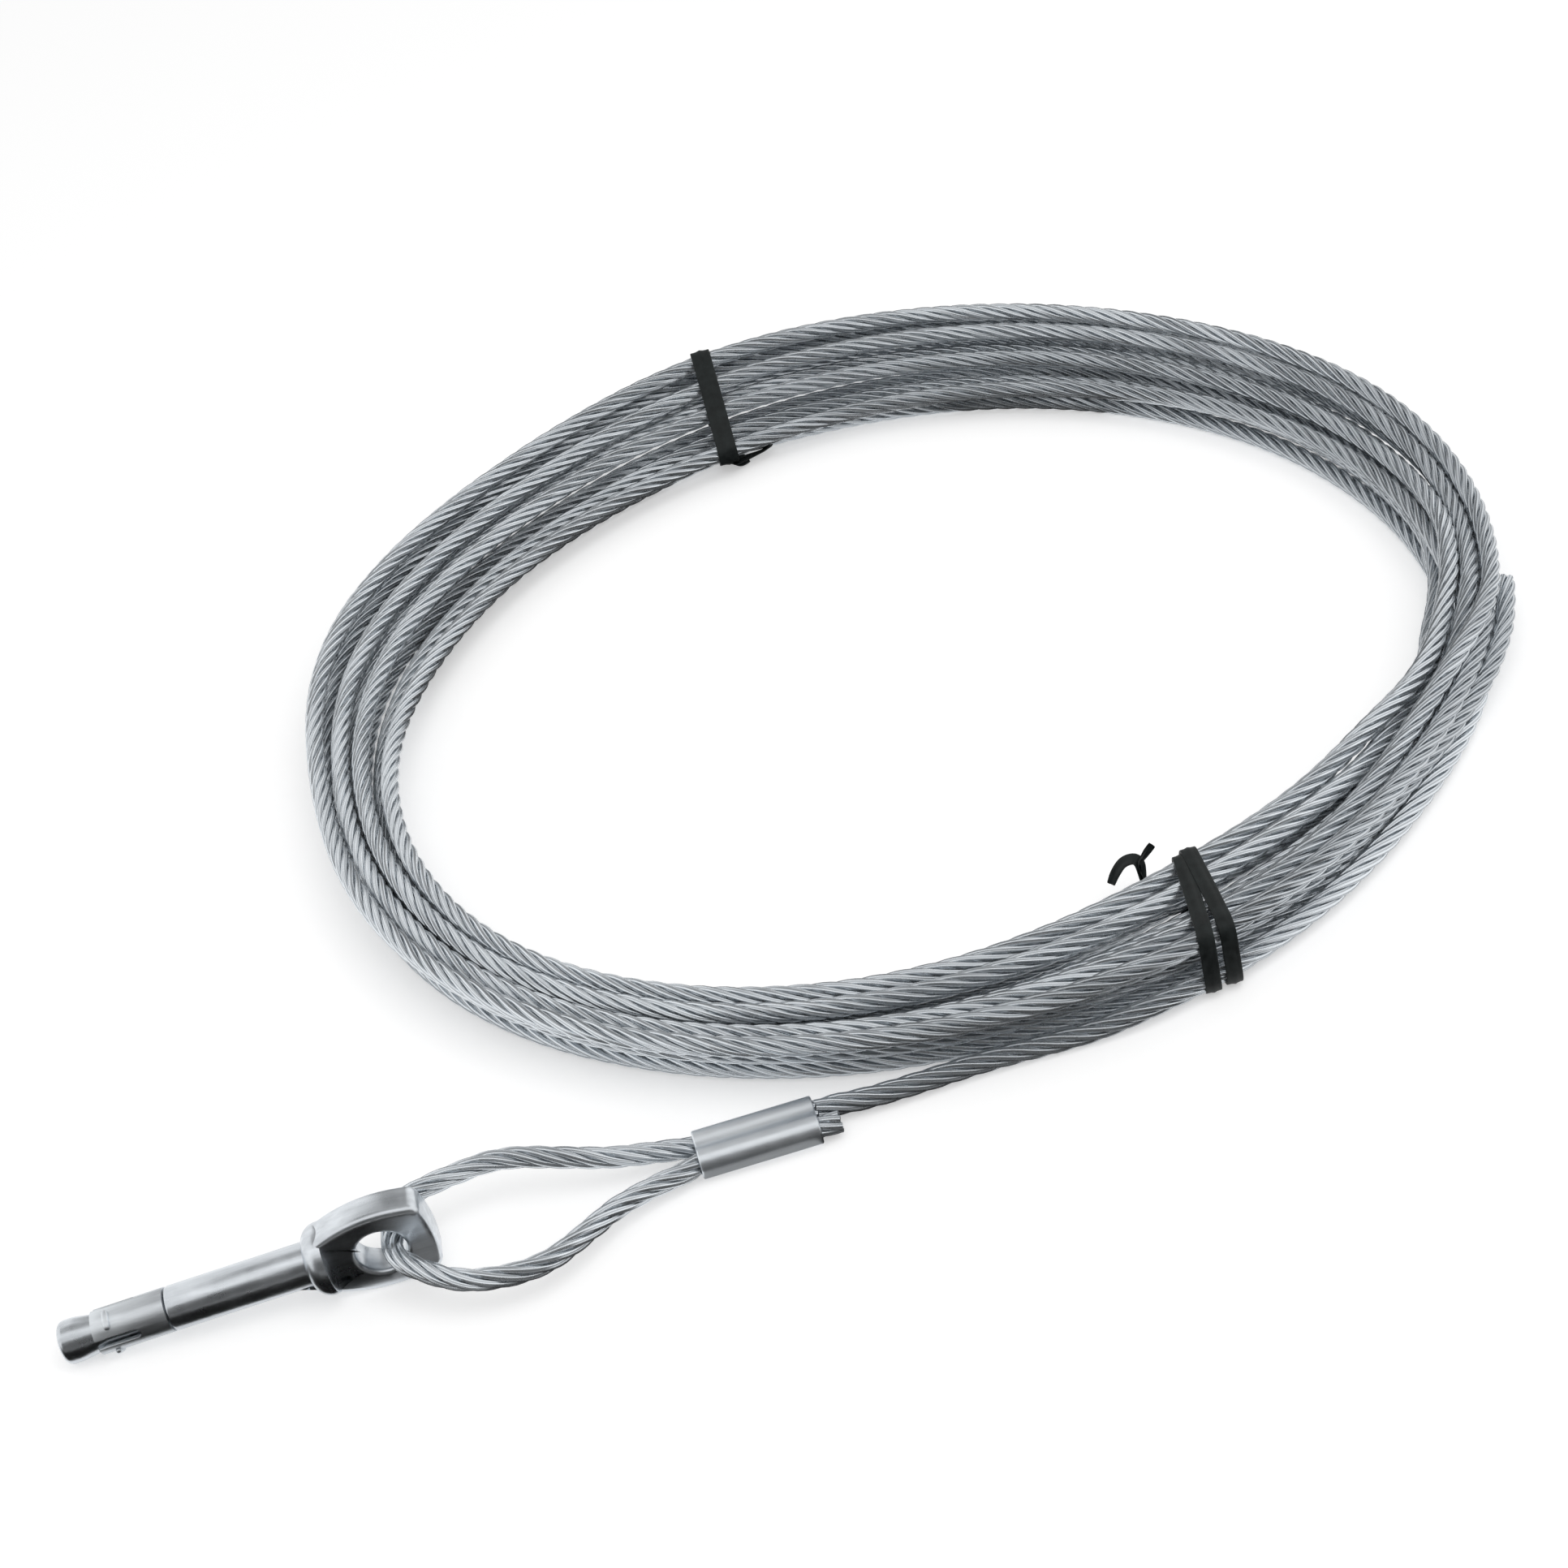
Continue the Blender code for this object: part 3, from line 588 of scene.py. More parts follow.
# The loop through the eye, with its cut tail behind the ferrule
loop = {
    "front": [(32.7, 3.2, 2.5), (27.8, 1.5, 2.9), (23.0, -1.0, 3.4), (19.3, -4.0, 3.9), (15.6, -7.1, 4.4),
              (12.5, -9.1, 4.8), (8.7, -10.2, 5.2), (4.3, -10.2, 5.6), (1.1, -9.4, 5.8), (-1.6, -8.0, 6.0),
              (-4.2, -6.0, 6.2), (-6.5, -3.9, 6.5)],
    "eyeHalf": 2.9,  # to each side of the pivot, over which the rope runs straight through the eye
    "back": [(-6.8, 6.4, 7.1), (-4.9, 7.7, 7.4), (-1.7, 8.6, 7.6), (1.9, 9.4, 7.6), (6.6, 10.2, 7.5),
             (11.1, 9.9, 7.1), (16.7, 8.5, 6.4), (23.2, 7.4, 5.1), (28.8, 7.4, 3.9), (33.0, 7.8, 2.8)],
    "tail": 3.0,
    "outlet": 0.28,  # past the ferrule's end, where the lead takes over
    "inFerrule": (1, 0.5, 0, -0.5, -0.8, -1),  # shares of half the ferrule's length
    "step": 1.0,
}


def loopPath():
    half = lead["ferruleLength"] / 2
    shares = loop["inFerrule"]
    out = [ferrulePoint(-1, half + loop["tail"])] + [ferrulePoint(-1, half * share) for share in shares]
    eye = [(pivot[0], pivot[1] + beside, pivot[2]) for beside in (-loop["eyeHalf"], 0, loop["eyeHalf"])]
    back = [ferrulePoint(1, half * share) for share in reversed(shares)] + [ferrulePoint(1, half + loop["outlet"])]
    return smoothCurve(out + loop["front"] + eye + loop["back"] + back, loop["step"])


loopMesh = strandMesh("rope_loop_strands", loopPath(), range(-1, rope["outerStrands"]))
loopStrands = newPiece("rope_loop_strands", loopMesh, ropeWire, "rope")
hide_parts("rope_loop")
print("loop made")

# What both ties have in common: a flat tie over a thin wire
flatWire = {
    "cellsAcross": 6,
    "cellsRound": 96,
    "edge": 0.12,
    "sharp": 1.2,  # radians, past which an edge is rounded
    "ridgeSlope": 5,  # how soon the ridge over the wire falls away, per width of the tie
    "ropeGap": 0.2,  # between a band and the turns under it
    "floorGap": 0.03,
    "endStep": 0.35,
    "endThick": 0.3,
    "endWidth": 0.8,  # share of the band's width
    "endTaper": 0.35,  # share of that width that is lost at the tip
}
frontTie = {
    "through": (113.4, 21.0),
    "heading": 91.5,  # of the band, seen from above
    "width": 2.4,
    "thick": 0.45,
    "ridge": 0.14,  # over the wire inside the flat tie
    # Each wrap: beside the tie's middle, how it leaves the other one per millimetre, and lift off the rope
    "leftWrap": (1.15, -0.1, 0.15),
    "rightWrap": (-1.2, 0.0, 0.3),
    # The twisted trunk and its two arms: the route, and the twist in degrees at its start and its end
    "trunk": ([(106.9, 32.6, 5.0), (107.4, 34.4, 5.6), (107.5, 35.9, 7.9)], (60, 100)),
    "rightArm": ([(107.4, 34.4, 5.6), (107.5, 35.9, 7.9), (108.4, 36.4, 9.0), (109.9, 36.9, 10.2)], (100, 20)),
    "leftArm": ([(107.4, 34.4, 5.6), (107.5, 35.9, 7.9), (106.9, 36.7, 8.6), (105.3, 37.3, 8.0),
                 (103.9, 37.1, 6.6), (102.9, 36.8, 5.0)], (60, -40)),
}
backTie = {
    "through": (66.6, 199.0),
    "heading": 90.5,
    "width": 3.6,
    "thick": 0.5,
    "ridge": 0.2,
    "wrap": (0.0, 0.0, 0.0),
    "shortEnd": ([(66.6, 184.8, 2.2), (68.0, 185.8, 1.2), (70.2, 186.9, 0.9)], (0, 30)),
    "longEnd": ([(67.2, 185.4, 1.6), (70.5, 187.0, 1.1), (73.2, 187.9, 1.0), (75.2, 188.7, 1.3)], (0, -30)),
}


def bundleOutline(point, heading):
    # Where the rope's turns cross an upright plane, as a loop round all of them: distance along it, and height
    direction = np.array([math.cos(math.radians(heading)), math.sin(math.radians(heading))])
    normal = np.array([-direction[1], direction[0]])
    flat = ropePath[:, :2] - np.array(point)
    past = flat @ normal
    along = flat @ direction
    crossing = np.nonzero((past[:-1] * past[1:] <= 0) & (np.abs(along[:-1]) < 25))[0]  # not the coil's far side
    share = (past[crossing] / (past[crossing] - past[crossing + 1]))[:, None]
    spots = np.c_[along, ropePath[:, 2]]
    spots = spots[crossing] * (1 - share) + spots[crossing + 1] * share
    turn = np.linspace(0, 2 * math.pi, 40, endpoint=False)
    circle = (rope["diameter"] / 2 + flatWire["ropeGap"]) * np.stack([np.cos(turn), np.sin(turn)], axis=1)
    rim = bmesh.new()
    for x, z in (spots[:, None, :] + circle).reshape(-1, 2):
        rim.verts.new((x, 0, z))
    hull = bmesh.ops.convex_hull(rim, input=rim.verts[:])["geom"]
    outer = {v for part in hull if isinstance(part, bmesh.types.BMEdge) for v in part.verts}
    middle = spots.mean(axis=0)
    ring = sorted((math.atan2(v.co.z - middle[1], v.co.x - middle[0]), v.co.x, v.co.z) for v in outer)
    rim.free()
    ring = evenly(np.array(ring)[:, 1:], flatWire["cellsRound"], True)
    for smoothing in range(2):
        ring = (np.roll(ring, 1, axis=0) + 2 * ring + np.roll(ring, -1, axis=0)) / 4
    return ring, middle, direction, normal


def flatTie(name, steps, placeOf, thick, closed):
    # A flat tie as a strip of a grid, laid by placeOf(share of its width, share of its length), then thickened
    made = bmesh.new()
    bmesh.ops.create_grid(made, x_segments=flatWire["cellsAcross"], y_segments=steps, size=1)
    for vertex in made.verts:
        vertex.co = placeOf((vertex.co.x + 1) / 2, (vertex.co.y + 1) / 2)
    if closed:
        bmesh.ops.remove_doubles(made, verts=made.verts, dist=0.001 * mm)
        bmesh.ops.recalc_face_normals(made, faces=made.faces)
        centre = sum((vertex.co for vertex in made.verts), Vector()) / len(made.verts)
        face = made.faces[0]
        if face.normal.dot(face.calc_center_median() - centre) < 0:
            bmesh.ops.reverse_faces(made, faces=made.faces)
    bmesh.ops.solidify(made, geom=made.faces[:], thickness=-thick * mm)
    bmesh.ops.recalc_face_normals(made, faces=made.faces)
    edges = [edge for edge in made.edges if len(edge.link_faces) == 2 and edge.calc_face_angle() > flatWire["sharp"]]
    bmesh.ops.bevel(made, geom=edges, offset=flatWire["edge"] * mm, segments=2, profile=0.5, affect="EDGES",
                    material=-1)
    mesh = meshFrom(made, name)
    mesh.shade_smooth()
    return newPiece(name, mesh, tiePlastic, "rope")


def rise(share, ridge):
    return ridge * max(0, 1 - abs(share - 0.5) * flatWire["ridgeSlope"])  # of the flat tie over its wire


def band(name, settings, wrap):
    shift, splay, lift = settings[wrap]
    heading = math.radians(settings["heading"])
    spot = np.array(settings["through"]) + shift * np.array([-math.sin(heading), math.cos(heading)])
    ring, middle, direction, normal = bundleOutline(spot, settings["heading"])
    ring = np.vstack([ring, ring[:1]])
    shares = np.linspace(0, 1, len(ring))

    def placeOf(across, around):
        reach = np.array([np.interp(around, shares, ring[:, k]) for k in range(2)]) - middle
        reach *= 1 + (lift + rise(across, settings["ridge"])) / np.linalg.norm(reach)
        beside = shift + splay * reach[0] + (across - 0.5) * settings["width"]
        flat = np.array(settings["through"]) + direction * (middle[0] + reach[0]) + normal * beside
        return Vector((*flat, max(middle[1] + reach[1], settings["thick"] + flatWire["floorGap"]))) * mm

    return flatTie(name, flatWire["cellsRound"], placeOf, settings["thick"], True)


def looseEnd(name, settings, end):
    # One end of a tie, from wide to a cut point, turned about its own line
    route, (twistStart, twistEnd) = settings[end]
    line = smoothCurve(route, flatWire["endStep"])
    ahead, first, second = carried(line)
    shares = np.linspace(0, 1, len(line))

    def placeOf(across, along):
        middle, side, up = (np.array([np.interp(along, shares, part[:, k]) for k in range(3)])
                            for part in (line, first, second))
        turn = math.radians(twistStart + (twistEnd - twistStart) * along)
        width = flatWire["endWidth"] * settings["width"] * (1 - flatWire["endTaper"] * along ** 3)
        flat = math.cos(turn) * side + math.sin(turn) * up
        top = math.cos(turn) * up - math.sin(turn) * side
        return Vector(middle + flat * (across - 0.5) * width + top * rise(across, settings["ridge"])) * mm

    return flatTie(name, len(line), placeOf, flatWire["endThick"], False)


leftWrap = band("front_tie_left_wrap", frontTie, "leftWrap")
rightWrap = band("front_tie_right_wrap", frontTie, "rightWrap")
trunk = looseEnd("front_tie_trunk", frontTie, "trunk")
rightArm = looseEnd("front_tie_right_arm", frontTie, "rightArm")
leftArm = looseEnd("front_tie_left_arm", frontTie, "leftArm")
backBand = band("back_tie_band", backTie, "wrap")
shortEnd = looseEnd("back_tie_short_end", backTie, "shortEnd")
longEnd = looseEnd("back_tie_long_end", backTie, "longEnd")
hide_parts("front_tie")
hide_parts("back_tie")
print("ties made")

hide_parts("rope_lead", "rope_coil", "rope_free_end")


def spun(made, profile, steps):
    # A profile of (radius, height), turned about Z
    points = [made.verts.new((radius, 0, height)) for radius, height in profile]
    edges = [made.edges.new(pair) for pair in zip(points, points[1:])]
    bmesh.ops.spin(made, geom=points + edges, cent=(0, 0, 0), axis=(0, 0, 1), angle=2 * math.pi, steps=steps,
                   use_merge=True, use_duplicate=False)
    bmesh.ops.remove_doubles(made, verts=made.verts, dist=0.001)
    bmesh.ops.recalc_face_normals(made, faces=made.faces)


# What the plates with a hole have in common, which are the eye and the ferrule
plate = {
    "sharp": 0.9,  # radians, past which an edge is rounded
    "segments": 5,
    "inset": 0.05,  # a narrow ring inside the rounding that keeps the flats flat
    "points": 120,  # round each outline
}


def pierced(made, outer, inner, thick, rimRound, mouthRound):
    # A plate in XY with a hole through it and rounded edges
    edges = []
    for outline in (outer, inner):
        ring = [made.verts.new((x, y, -thick / 2)) for x, y in outline]
        edges += [made.edges.new(pair) for pair in zip(ring, ring[1:] + ring[:1])]
    bmesh.ops.bridge_loops(made, edges=edges)
    grown = bmesh.ops.extrude_face_region(made, geom=made.faces[:])["geom"]
    bmesh.ops.translate(made, vec=(0, 0, thick), verts=[v for v in grown if isinstance(v, bmesh.types.BMVert)])
    bmesh.ops.recalc_face_normals(made, faces=made.faces)
    tree = KDTree(len(inner))
    for k, (x, y) in enumerate(inner):
        tree.insert((x, y, 0), k)
    tree.balance()
    mouth, rim = [], []
    for edge in made.edges:
        if edge.calc_face_angle(0) > plate["sharp"] and abs(edge.verts[0].co.z - edge.verts[1].co.z) < 0.001:
            near = tree.find(Vector((*edge.verts[0].co.xy, 0)))[2] < 0.01
            (mouth if near else rim).append(edge)
    for group, width in ((rim, rimRound), (mouth, mouthRound)):
        bmesh.ops.bevel(made, geom=group, offset=width, segments=plate["segments"], profile=0.5, affect="EDGES",
                        material=-1)
    flat = [face for face in made.faces if abs(face.normal.z) > 0.9999]
    bmesh.ops.inset_region(made, faces=flat, thickness=plate["inset"], use_even_offset=True, use_boundary=True)


def metalPiece(name, made, place, finish, body, sharp=38):
    mesh = meshFrom(made, name)
    mesh.transform(place)
    mesh.shade_smooth()
    mesh.set_sharp_from_angle(angle=math.radians(sharp))
    return newPiece(name, mesh, finish, body)


# The anchor: heights are along its axis from the place where the rope crosses the eye, towards the eye's end
anchor = {
    "lean": 4.6206,
    "shank": 3.175,  # radii
    "neck": 2.3,
    "cone": 3.1,
    "coneMouth": 2.65,
    "coneFlat": 1.6,
    "collar": 5.2,
    "boltEnd": -48.0,
    "coneRound": 0.9,
    "coneLand": 2.2,
    "coneCrown": (0.06, 0.5),  # how far in and how far back the cone starts behind its land
    "neckFlare": 1.5,
    "clipFront": -42.9,
    "clipBack": -32.4,
    "clearance": 0.3,
    "shankEdge": (0.1, 0.3),  # in and back, where the shank steps down to the neck
    "ledge": -9.0,
    "collarEdge": (0.35, 0.1),
    "shoulder": 2.5,
    "shoulderEdge": 0.55,
    "shoulderFoot": 0.4,
    "eyeEnd": 6.0,
    "eyeHalf": 6.8,
    "eyeThick": 5.25,
    "eyeCorner": 2.0,
    "eyeCrown": 0.4,
    "eyeWidest": 0.5,  # above the hole's middle
    "sideTaper": 1.6,
    "tipTaper": 0.6,
    "rimRound": 1.0,
    "holeMiddle": -1.67,
    "holeRadius": 3.57,
    "holeRound": 0.75,
    "stepsRound": 72,
}
axisPlace = (Matrix.Translation(Vector(pivot) * mm)
             @ Matrix.Rotation(math.radians(90 - anchor["lean"]), 4, "Y") @ Matrix.Scale(mm, 4))


def shankProfile():
    # Radius and height, from the top of the collar to the flat end of the cone
    shank, neck, collar, cone, ledge, boltEnd, coneRound, shoulder, clipFront = (anchor[key] for key in (
        "shank", "neck", "collar", "cone", "ledge", "boltEnd", "coneRound", "shoulder", "clipFront"))
    foot = ledge - shoulder - anchor["shoulderEdge"]
    behind = anchor["clipBack"] + anchor["clearance"]
    land = boltEnd + anchor["coneLand"]
    crownIn, crownBack = anchor["coneCrown"]
    edgeIn, edgeBack = anchor["shankEdge"]
    rimIn, rimSmall = anchor["collarEdge"]
    quarter = [math.radians(90 * k / 10) for k in range(1, 11)]
    profile = [(0, ledge), (collar - rimIn, ledge), (collar - rimSmall, ledge - rimSmall)]
    profile += [(shank + (collar - shank) * math.sin(turn), foot + shoulder * (1 - math.cos(turn)))
                for turn in reversed(quarter)]
    profile += [(shank, foot), (shank, foot - anchor["shoulderFoot"]), (shank, behind + edgeBack)]
    profile += [(shank - edgeIn, behind), (neck, behind), (neck, clipFront + anchor["neckFlare"])]
    profile += [(anchor["coneMouth"], clipFront), (cone - crownIn, land + crownBack), (cone, land)]
    profile += [(cone, boltEnd + coneRound)]
    profile += [(cone - coneRound * (1 - math.cos(turn)), boltEnd + coneRound * (1 - math.sin(turn)))
                for turn in quarter]
    return profile + [(anchor["coneFlat"], boltEnd), (0, boltEnd)]


def eyeOutline():
    # Barrel sides from inside the collar, round corners and a slightly crowned end
    cornerRound = anchor["eyeCorner"]
    start = anchor["ledge"] - anchor["shoulder"] / 2
    widest = anchor["holeMiddle"] + anchor["eyeWidest"]
    corner = anchor["eyeEnd"] - cornerRound - anchor["eyeCrown"]
    inner = anchor["eyeHalf"] - anchor["tipTaper"] - cornerRound
    side = []
    for z in np.linspace(start, corner, 24):
        below, above = (widest - z) / (widest - anchor["ledge"]), (z - widest) / (corner - widest)
        loss = anchor["sideTaper"] * below ** 2 if z < widest else anchor["tipTaper"] * above ** 2
        side.append((anchor["eyeHalf"] - loss, z))
    for turn in np.radians(np.linspace(0, 90, 14)[1:-1]):
        side.append((inner + cornerRound * math.cos(turn), corner + cornerRound * math.sin(turn)))
    side += [(x, anchor["eyeEnd"] - anchor["eyeCrown"] * (x / inner) ** 2) for x in np.linspace(inner, 0, 8)]
    return side + [(-x, z) for x, z in reversed(side[:-1])]


def makeAnchor():
    zinc = anchorFinish()
    bolt = bmesh.new()
    spun(bolt, shankProfile(), anchor["stepsRound"])
    shank = metalPiece("anchor_shank", bolt, axisPlace, zinc, "anchor")
    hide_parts("anchor_bolt")
    head = bmesh.new()
    turns = np.linspace(0, 2 * math.pi, plate["points"], endpoint=False)
    hole = np.stack([anchor["holeRadius"] * np.cos(turns),
                     anchor["holeMiddle"] + anchor["holeRadius"] * np.sin(turns)], axis=1)
    pierced(head, evenly(eyeOutline(), plate["points"], True), hole, anchor["eyeThick"], anchor["rimRound"],
            anchor["holeRound"])
    upright = axisPlace @ Matrix.Rotation(math.radians(90), 4, "X")
    metalPiece("anchor_eye", head, upright, zinc, "anchor")


makeAnchor()
print("anchor made")

# The clip: a stamped blank, rolled into a sleeve
clip = {
    "outer": 3.175,
    "inner": 2.6,
    "mouthInner": 2.95,  # of the bore where the cone goes in
    "taperLength": 1.5,
    "length": 10.5,
    "slotWidth": 1.5,
    "slotLength": 6.4,
    "seam": 0.45,
    "edge": 0.07,
    "turn": 113.0,  # of the sleeve about the bolt, its seam being 90 degrees before this
    "sharp": 1.0,  # radians, past which an edge is rounded
    "cellsRound": 132,
    "nub": (1.0, 3.0, 1.0),  # depth, width round the clip, width along it
    "nubCount": 3,
    "nubTurn": 60,  # from the seam to the first
    "nubProud": 0.45,
    "nubPlace": 2.3,  # from the mouth
    "nubFullness": 0.7,  # 1 is an ellipsoid, and less is fuller
    "nubSharp": 60,
}


def clipBlank():
    # Its outline laid flat, the width being one turn and the mouth at y = 0, with the seam at its two sides
    girth = 2 * math.pi * clip["outer"]
    half, reach = clip["slotWidth"] / 2, clip["slotLength"] - clip["slotWidth"] / 2
    arc = [math.radians(15 * k) for k in range(13)]
    seam = clip["seam"] / 2
    corner = [(half * math.cos(a), reach + half * math.sin(a)) for a in arc if half * math.cos(a) > seam]
    outline = [(half, 0)]
    for left in (girth / 3, girth * 2 / 3):
        outline += [(left - half, 0)]
        outline += [(left - half * math.cos(a), reach + half * math.sin(a)) for a in arc]
        outline += [(left + half, 0)]
    outline += [(girth - half, 0)] + [(girth - x, y) for x, y in corner]
    outline += [(girth - seam, reach + half), (girth - seam, clip["length"])]
    outline += [(seam, clip["length"]), (seam, reach + half)]
    return outline + corner[::-1], girth


def rolledSleeve():
    outer = clip["outer"]
    outline, girth = clipBlank()
    made = bmesh.new()
    made.faces.new([made.verts.new((x, y, 0)) for x, y in outline])
    cuts = [((girth * k / clip["cellsRound"], 0, 0), (1, 0, 0)) for k in range(1, clip["cellsRound"])]
    for spot, facing in cuts + [((0, clip["taperLength"], 0), (0, 1, 0))]:
        bmesh.ops.bisect_plane(made, geom=made.verts[:] + made.edges[:] + made.faces[:], dist=0.0001,
                               plane_co=spot, plane_no=facing)
    bmesh.ops.recalc_face_normals(made, faces=made.faces)
    if sum(face.normal.z for face in made.faces) < 0:
        bmesh.ops.reverse_faces(made, faces=made.faces)
    grown = bmesh.ops.extrude_face_region(made, geom=made.faces[:])["geom"]
    for vertex in (v for v in grown if isinstance(v, bmesh.types.BMVert)):
        share = max(0, 1 - vertex.co.y / clip["taperLength"])
        bore = clip["inner"] + (clip["mouthInner"] - clip["inner"]) * share
        vertex.co.z = bore - outer
    bmesh.ops.recalc_face_normals(made, faces=made.faces)
    edges = [edge for edge in made.edges if edge.calc_face_angle(0) > clip["sharp"]]
    bmesh.ops.bevel(made, geom=edges, offset=clip["edge"], segments=2, profile=0.5, affect="EDGES", material=-1)
    for vertex in made.verts:
        turn = vertex.co.x / outer - math.pi / 2 + math.radians(clip["turn"])
        radius = outer + vertex.co.z
        vertex.co = (radius * math.cos(turn), radius * math.sin(turn), anchor["clipFront"] + vertex.co.y)
    bmesh.ops.recalc_face_normals(made, faces=made.faces)
    return made


def embossedNubs():
    made = bmesh.new()
    place = (clip["outer"] + clip["nubProud"] - clip["nub"][0] / 2, 0, anchor["clipFront"] + clip["nubPlace"])
    for k in range(clip["nubCount"]):
        nub = bmesh.ops.create_uvsphere(made, u_segments=32, v_segments=20, radius=0.5)["verts"]
        for vertex in nub:
            vertex.co = Vector([math.copysign(0.5 * abs(2 * c) ** clip["nubFullness"], c) for c in vertex.co])
        bmesh.ops.scale(made, vec=clip["nub"], verts=nub)
        bmesh.ops.translate(made, vec=place, verts=nub)
        turn = math.radians(360 / clip["nubCount"] * k + clip["nubTurn"] - 90 + clip["turn"])
        bmesh.ops.rotate(made, cent=(0, 0, 0), matrix=Matrix.Rotation(turn, 3, "Z"), verts=nub)
    return made


def makeClip():
    steel = clipFinish()
    sleeve = metalPiece("clip_sleeve", rolledSleeve(), axisPlace, steel, "clip")
    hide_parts("expansion_clip")
    metalPiece("clip_nubs", embossedNubs(), axisPlace, steel, "clip", clip["nubSharp"])


makeClip()
print("clip made")

# The ferrule: a lobed sleeve pressed over the rope and its tail
ferrule = {
    "bore": 1.85,
    "wall": 0.45,
    "groove": 0.45,  # how far its middle is drawn in between the lobes
    "waist": 0.8,  # the same of its bore
    "edge": 0.3,
    "mouthEdge": 0.1,
}


def lobedOutline(radius, waist):
    offset = lead["lobeOffset"]
    arc = np.radians(np.linspace(-90, 90, 25))
    half = [(offset + radius * math.cos(a), radius * math.sin(a)) for a in arc]
    half += [(x, radius - waist * (1 + math.cos(math.pi * x / offset)) / 2)
             for x in np.linspace(offset, -offset, 25)[1:-1]]
    return evenly(half + [(-x, -y) for x, y in half], plate["points"], True)


def makeFerrule():
    made = bmesh.new()
    pierced(made, lobedOutline(ferrule["bore"] + ferrule["wall"], ferrule["groove"]),
            lobedOutline(ferrule["bore"], ferrule["waist"]), lead["ferruleLength"], ferrule["edge"],
            ferrule["mouthEdge"])
    place = (Matrix.Translation(Vector(lead["ferruleMiddle"]) * mm)
             @ Matrix.Rotation(math.radians(90) + lead["ferruleYaw"], 4, "Z")
             @ Matrix.Rotation(math.radians(90), 4, "X") @ Matrix.Scale(mm, 4))
    sleeve = metalPiece("ferrule_sleeve", made, place, ferruleFinish(), "rope")
    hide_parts("ferrule")


makeFerrule()
print("ferrule made")

# The stage, in metres
studio = {
    "floorMiddle": (0.06, 0.1, 0),
    "floorReach": 4.0,
    "paper": (0.82, 0.82, 0.82, 1),
    "floorGlow": 0.4,  # of the floor where it is seen, and not where it only lights the rope
    "skyLight": 0.53,
    "skySeen": 0.47,  # added where it is seen
    "lamp": (0.3, -0.35, 0.95),
    "lampAim": (0.06, 0.09, 0),
    "lampSize": (1.2, 1.0),
    "lampPower": 5,
    # Cards that only show in the metal, as a studio flag or reflector does: middle, facing, size and glow
    "cards": {
        "front_floor_card": ((0.05, -0.0785, 0.0004), (0, 0, 1), (0.5, 0.152), 0.01),
        "near_floor_card": ((-0.003, -0.0135, 0.0006), (0, 0, 1), (0.013, 0.022), 0.16),
        "lead_floor_card": ((0.115, 0.003, 0.0002), (0, 0, 1), (0.125, 0.0125), 0.01),
        "ferrule_floor_card": ((0.0435, 0.0005, 0.0002), (0, 0, 1), (0.018, 0.0065), 0.3),
        "ring_floor_card": ((0.07, 0.155, 0.0002), (0, 0, 1), (0.13, 0.06), 0.02),
        "back_card": ((0.03, 1.3, 0.75), (0, -1, 0), (0.62, 1.5), 0.3),
        "ceiling_card": ((0.06, 0.7, 1.5), (0, 0, -1), (2.0, 1.2), 0.4),
        "front_card": ((0.06, -1.1, 0.64), (0, 1, 0), (3.2, 1.28), 0.1),
    },
}
white = (1, 1, 1, 1)


def emptied(holder):
    # The start of a new node tree for a material or the world
    holder.use_nodes = True
    holder.node_tree.nodes.clear()
    return Wire(holder.node_tree)


def seenFrom(start):
    # 1 for rays that see a surface, straight or in the metal, and 0 for those that only carry light
    direct = start.node("LightPath", output="Is Camera Ray")
    return (direct + direct.beside("Is Glossy Ray") + direct.beside("Is Transmission Ray")).math("MINIMUM", 1.0)


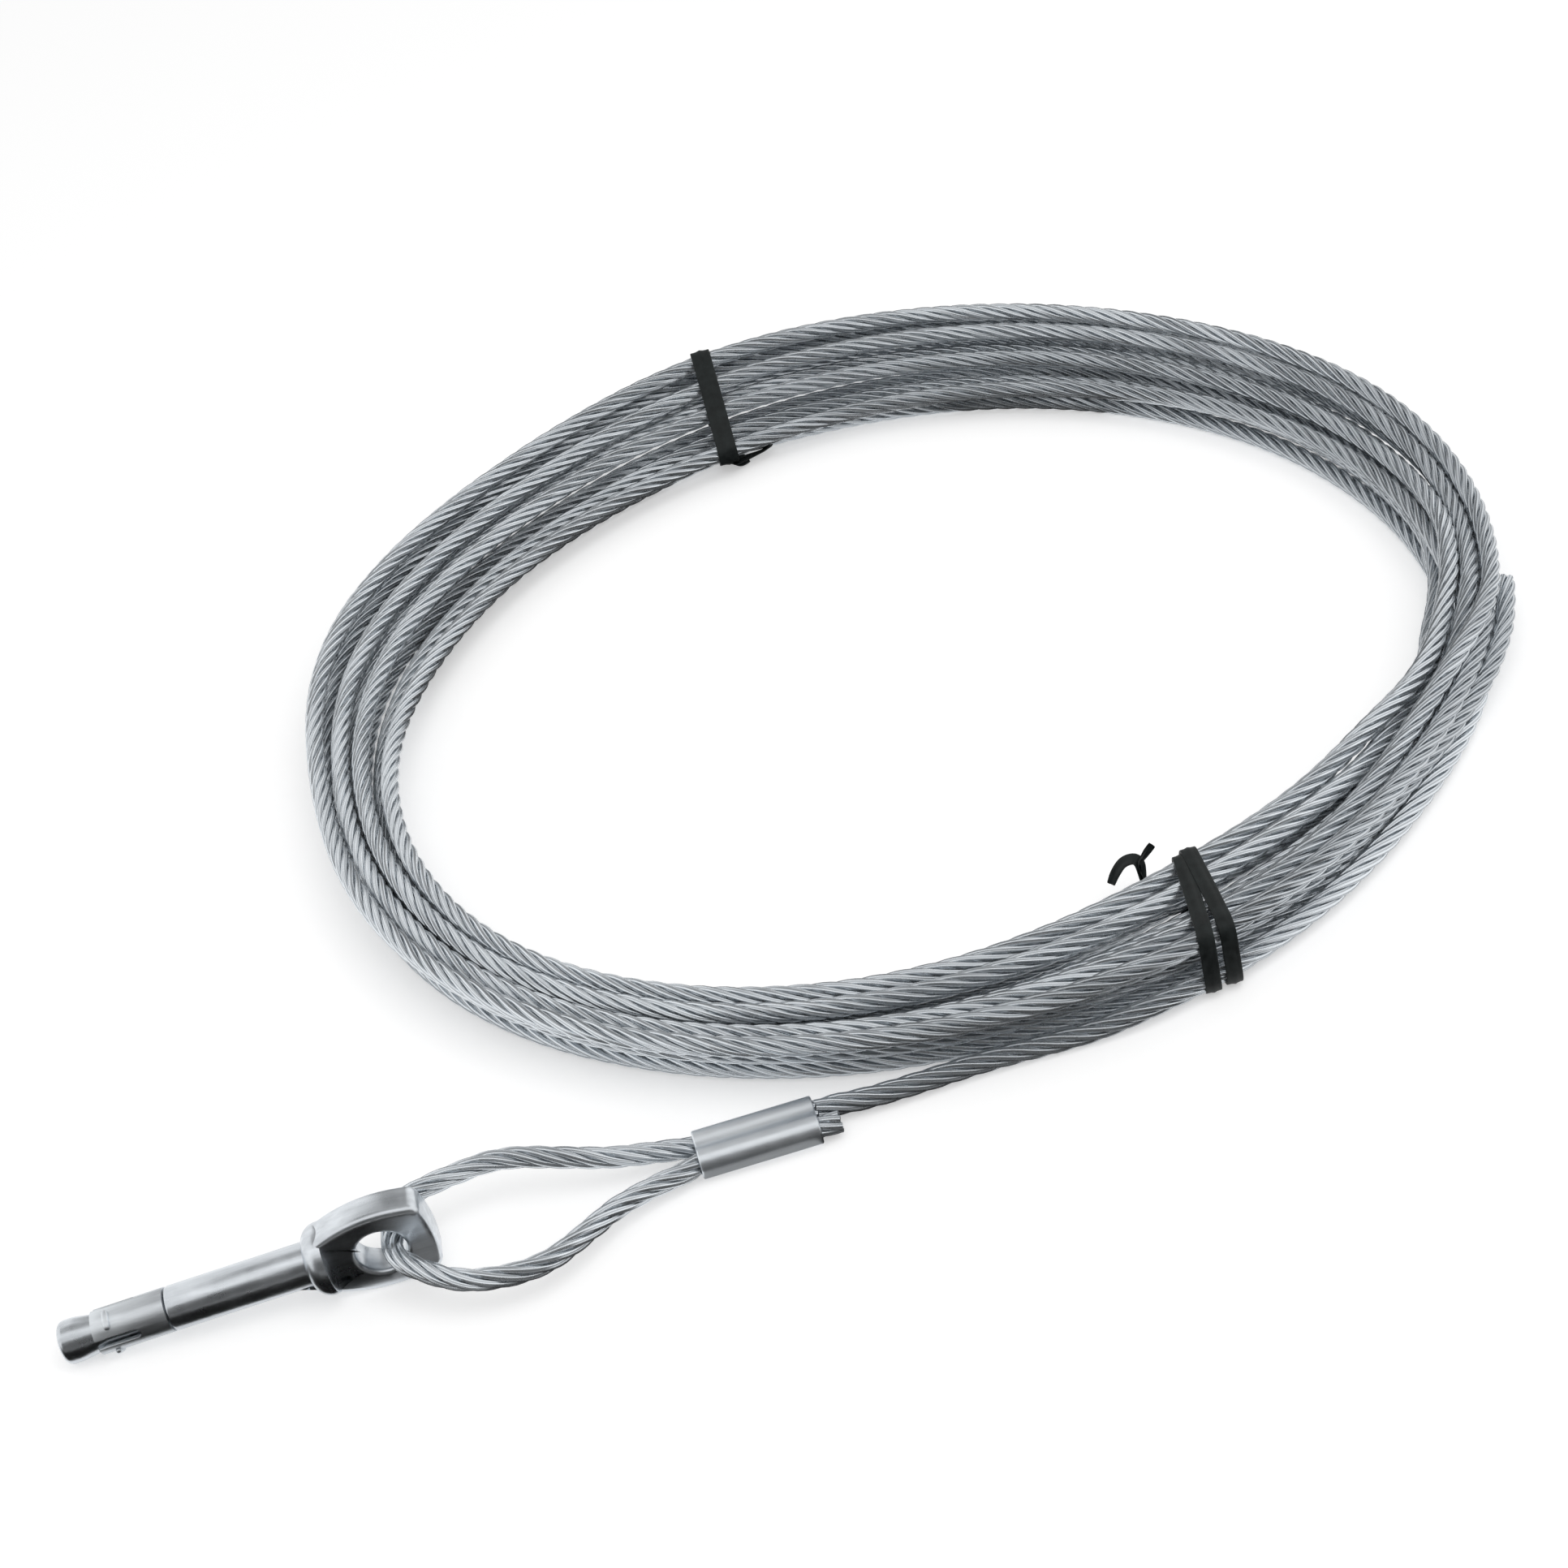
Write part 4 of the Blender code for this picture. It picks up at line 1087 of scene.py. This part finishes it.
def flatSheet(name, size, place, material):
    made = bmesh.new()
    bmesh.ops.create_grid(made, x_segments=1, y_segments=1, size=0.5)
    bmesh.ops.scale(made, vec=(*size, 1), verts=made.verts)
    mesh = meshFrom(made, name)
    mesh.transform(place)
    mesh.materials.append(material)
    sheet = newObject(name, mesh)
    return sheet


def addFloor():
    material = bpy.data.materials.new("paleFloor")
    start = emptied(material)
    paper = start.node("BsdfDiffuse", {"Color": studio["paper"]})
    glow = start.node("Emission", {"Color": white, "Strength": seenFrom(start) * studio["floorGlow"]})
    start.node("OutputMaterial", {"Surface": start.node("AddShader", {0: paper, 1: glow})})
    side = 2 * studio["floorReach"]
    flatSheet("floor", (side, side), Matrix.Translation(studio["floorMiddle"]), material)


def addWorld():
    world = bpy.data.worlds.new("studio")
    bpy.context.scene.world = world
    start = emptied(world)
    strength = seenFrom(start) * studio["skySeen"] + studio["skyLight"]
    start.node("OutputWorld", {"Surface": start.node("Background", {"Color": white, "Strength": strength})})


def addCard(name, middle, facing, size, glow):
    material = bpy.data.materials.new(name)
    start = emptied(material)
    lit = start.node("Emission", {"Color": (glow, glow, glow, 1), "Strength": 1.0})
    start.node("OutputMaterial", {"Surface": lit})
    turn = Vector(facing).to_track_quat("Z", "Y").to_matrix().to_4x4()
    card = flatSheet(name, size, Matrix.Translation(middle) @ turn, material)
    card.visible_camera = False
    card.visible_diffuse = False
    card.visible_transmission = False
    card.visible_shadow = False


def addLamp():
    data = bpy.data.lights.new("key", "AREA")
    data.shape = "RECTANGLE"
    data.size, data.size_y = studio["lampSize"]
    data.energy = studio["lampPower"]
    made = newObject("key", data)
    direction = Vector(studio["lampAim"]) - Vector(studio["lamp"])
    made.matrix_world = Matrix.Translation(studio["lamp"]) @ direction.to_track_quat("-Z", "Y").to_matrix().to_4x4()
    made.visible_glossy = False  # the metal shows the cards instead


addFloor()
addWorld()
for cardName, card in studio["cards"].items():
    addCard(cardName, *card)
addLamp()
bpy.context.scene.view_settings.view_transform = "Standard"
print("stage lit")
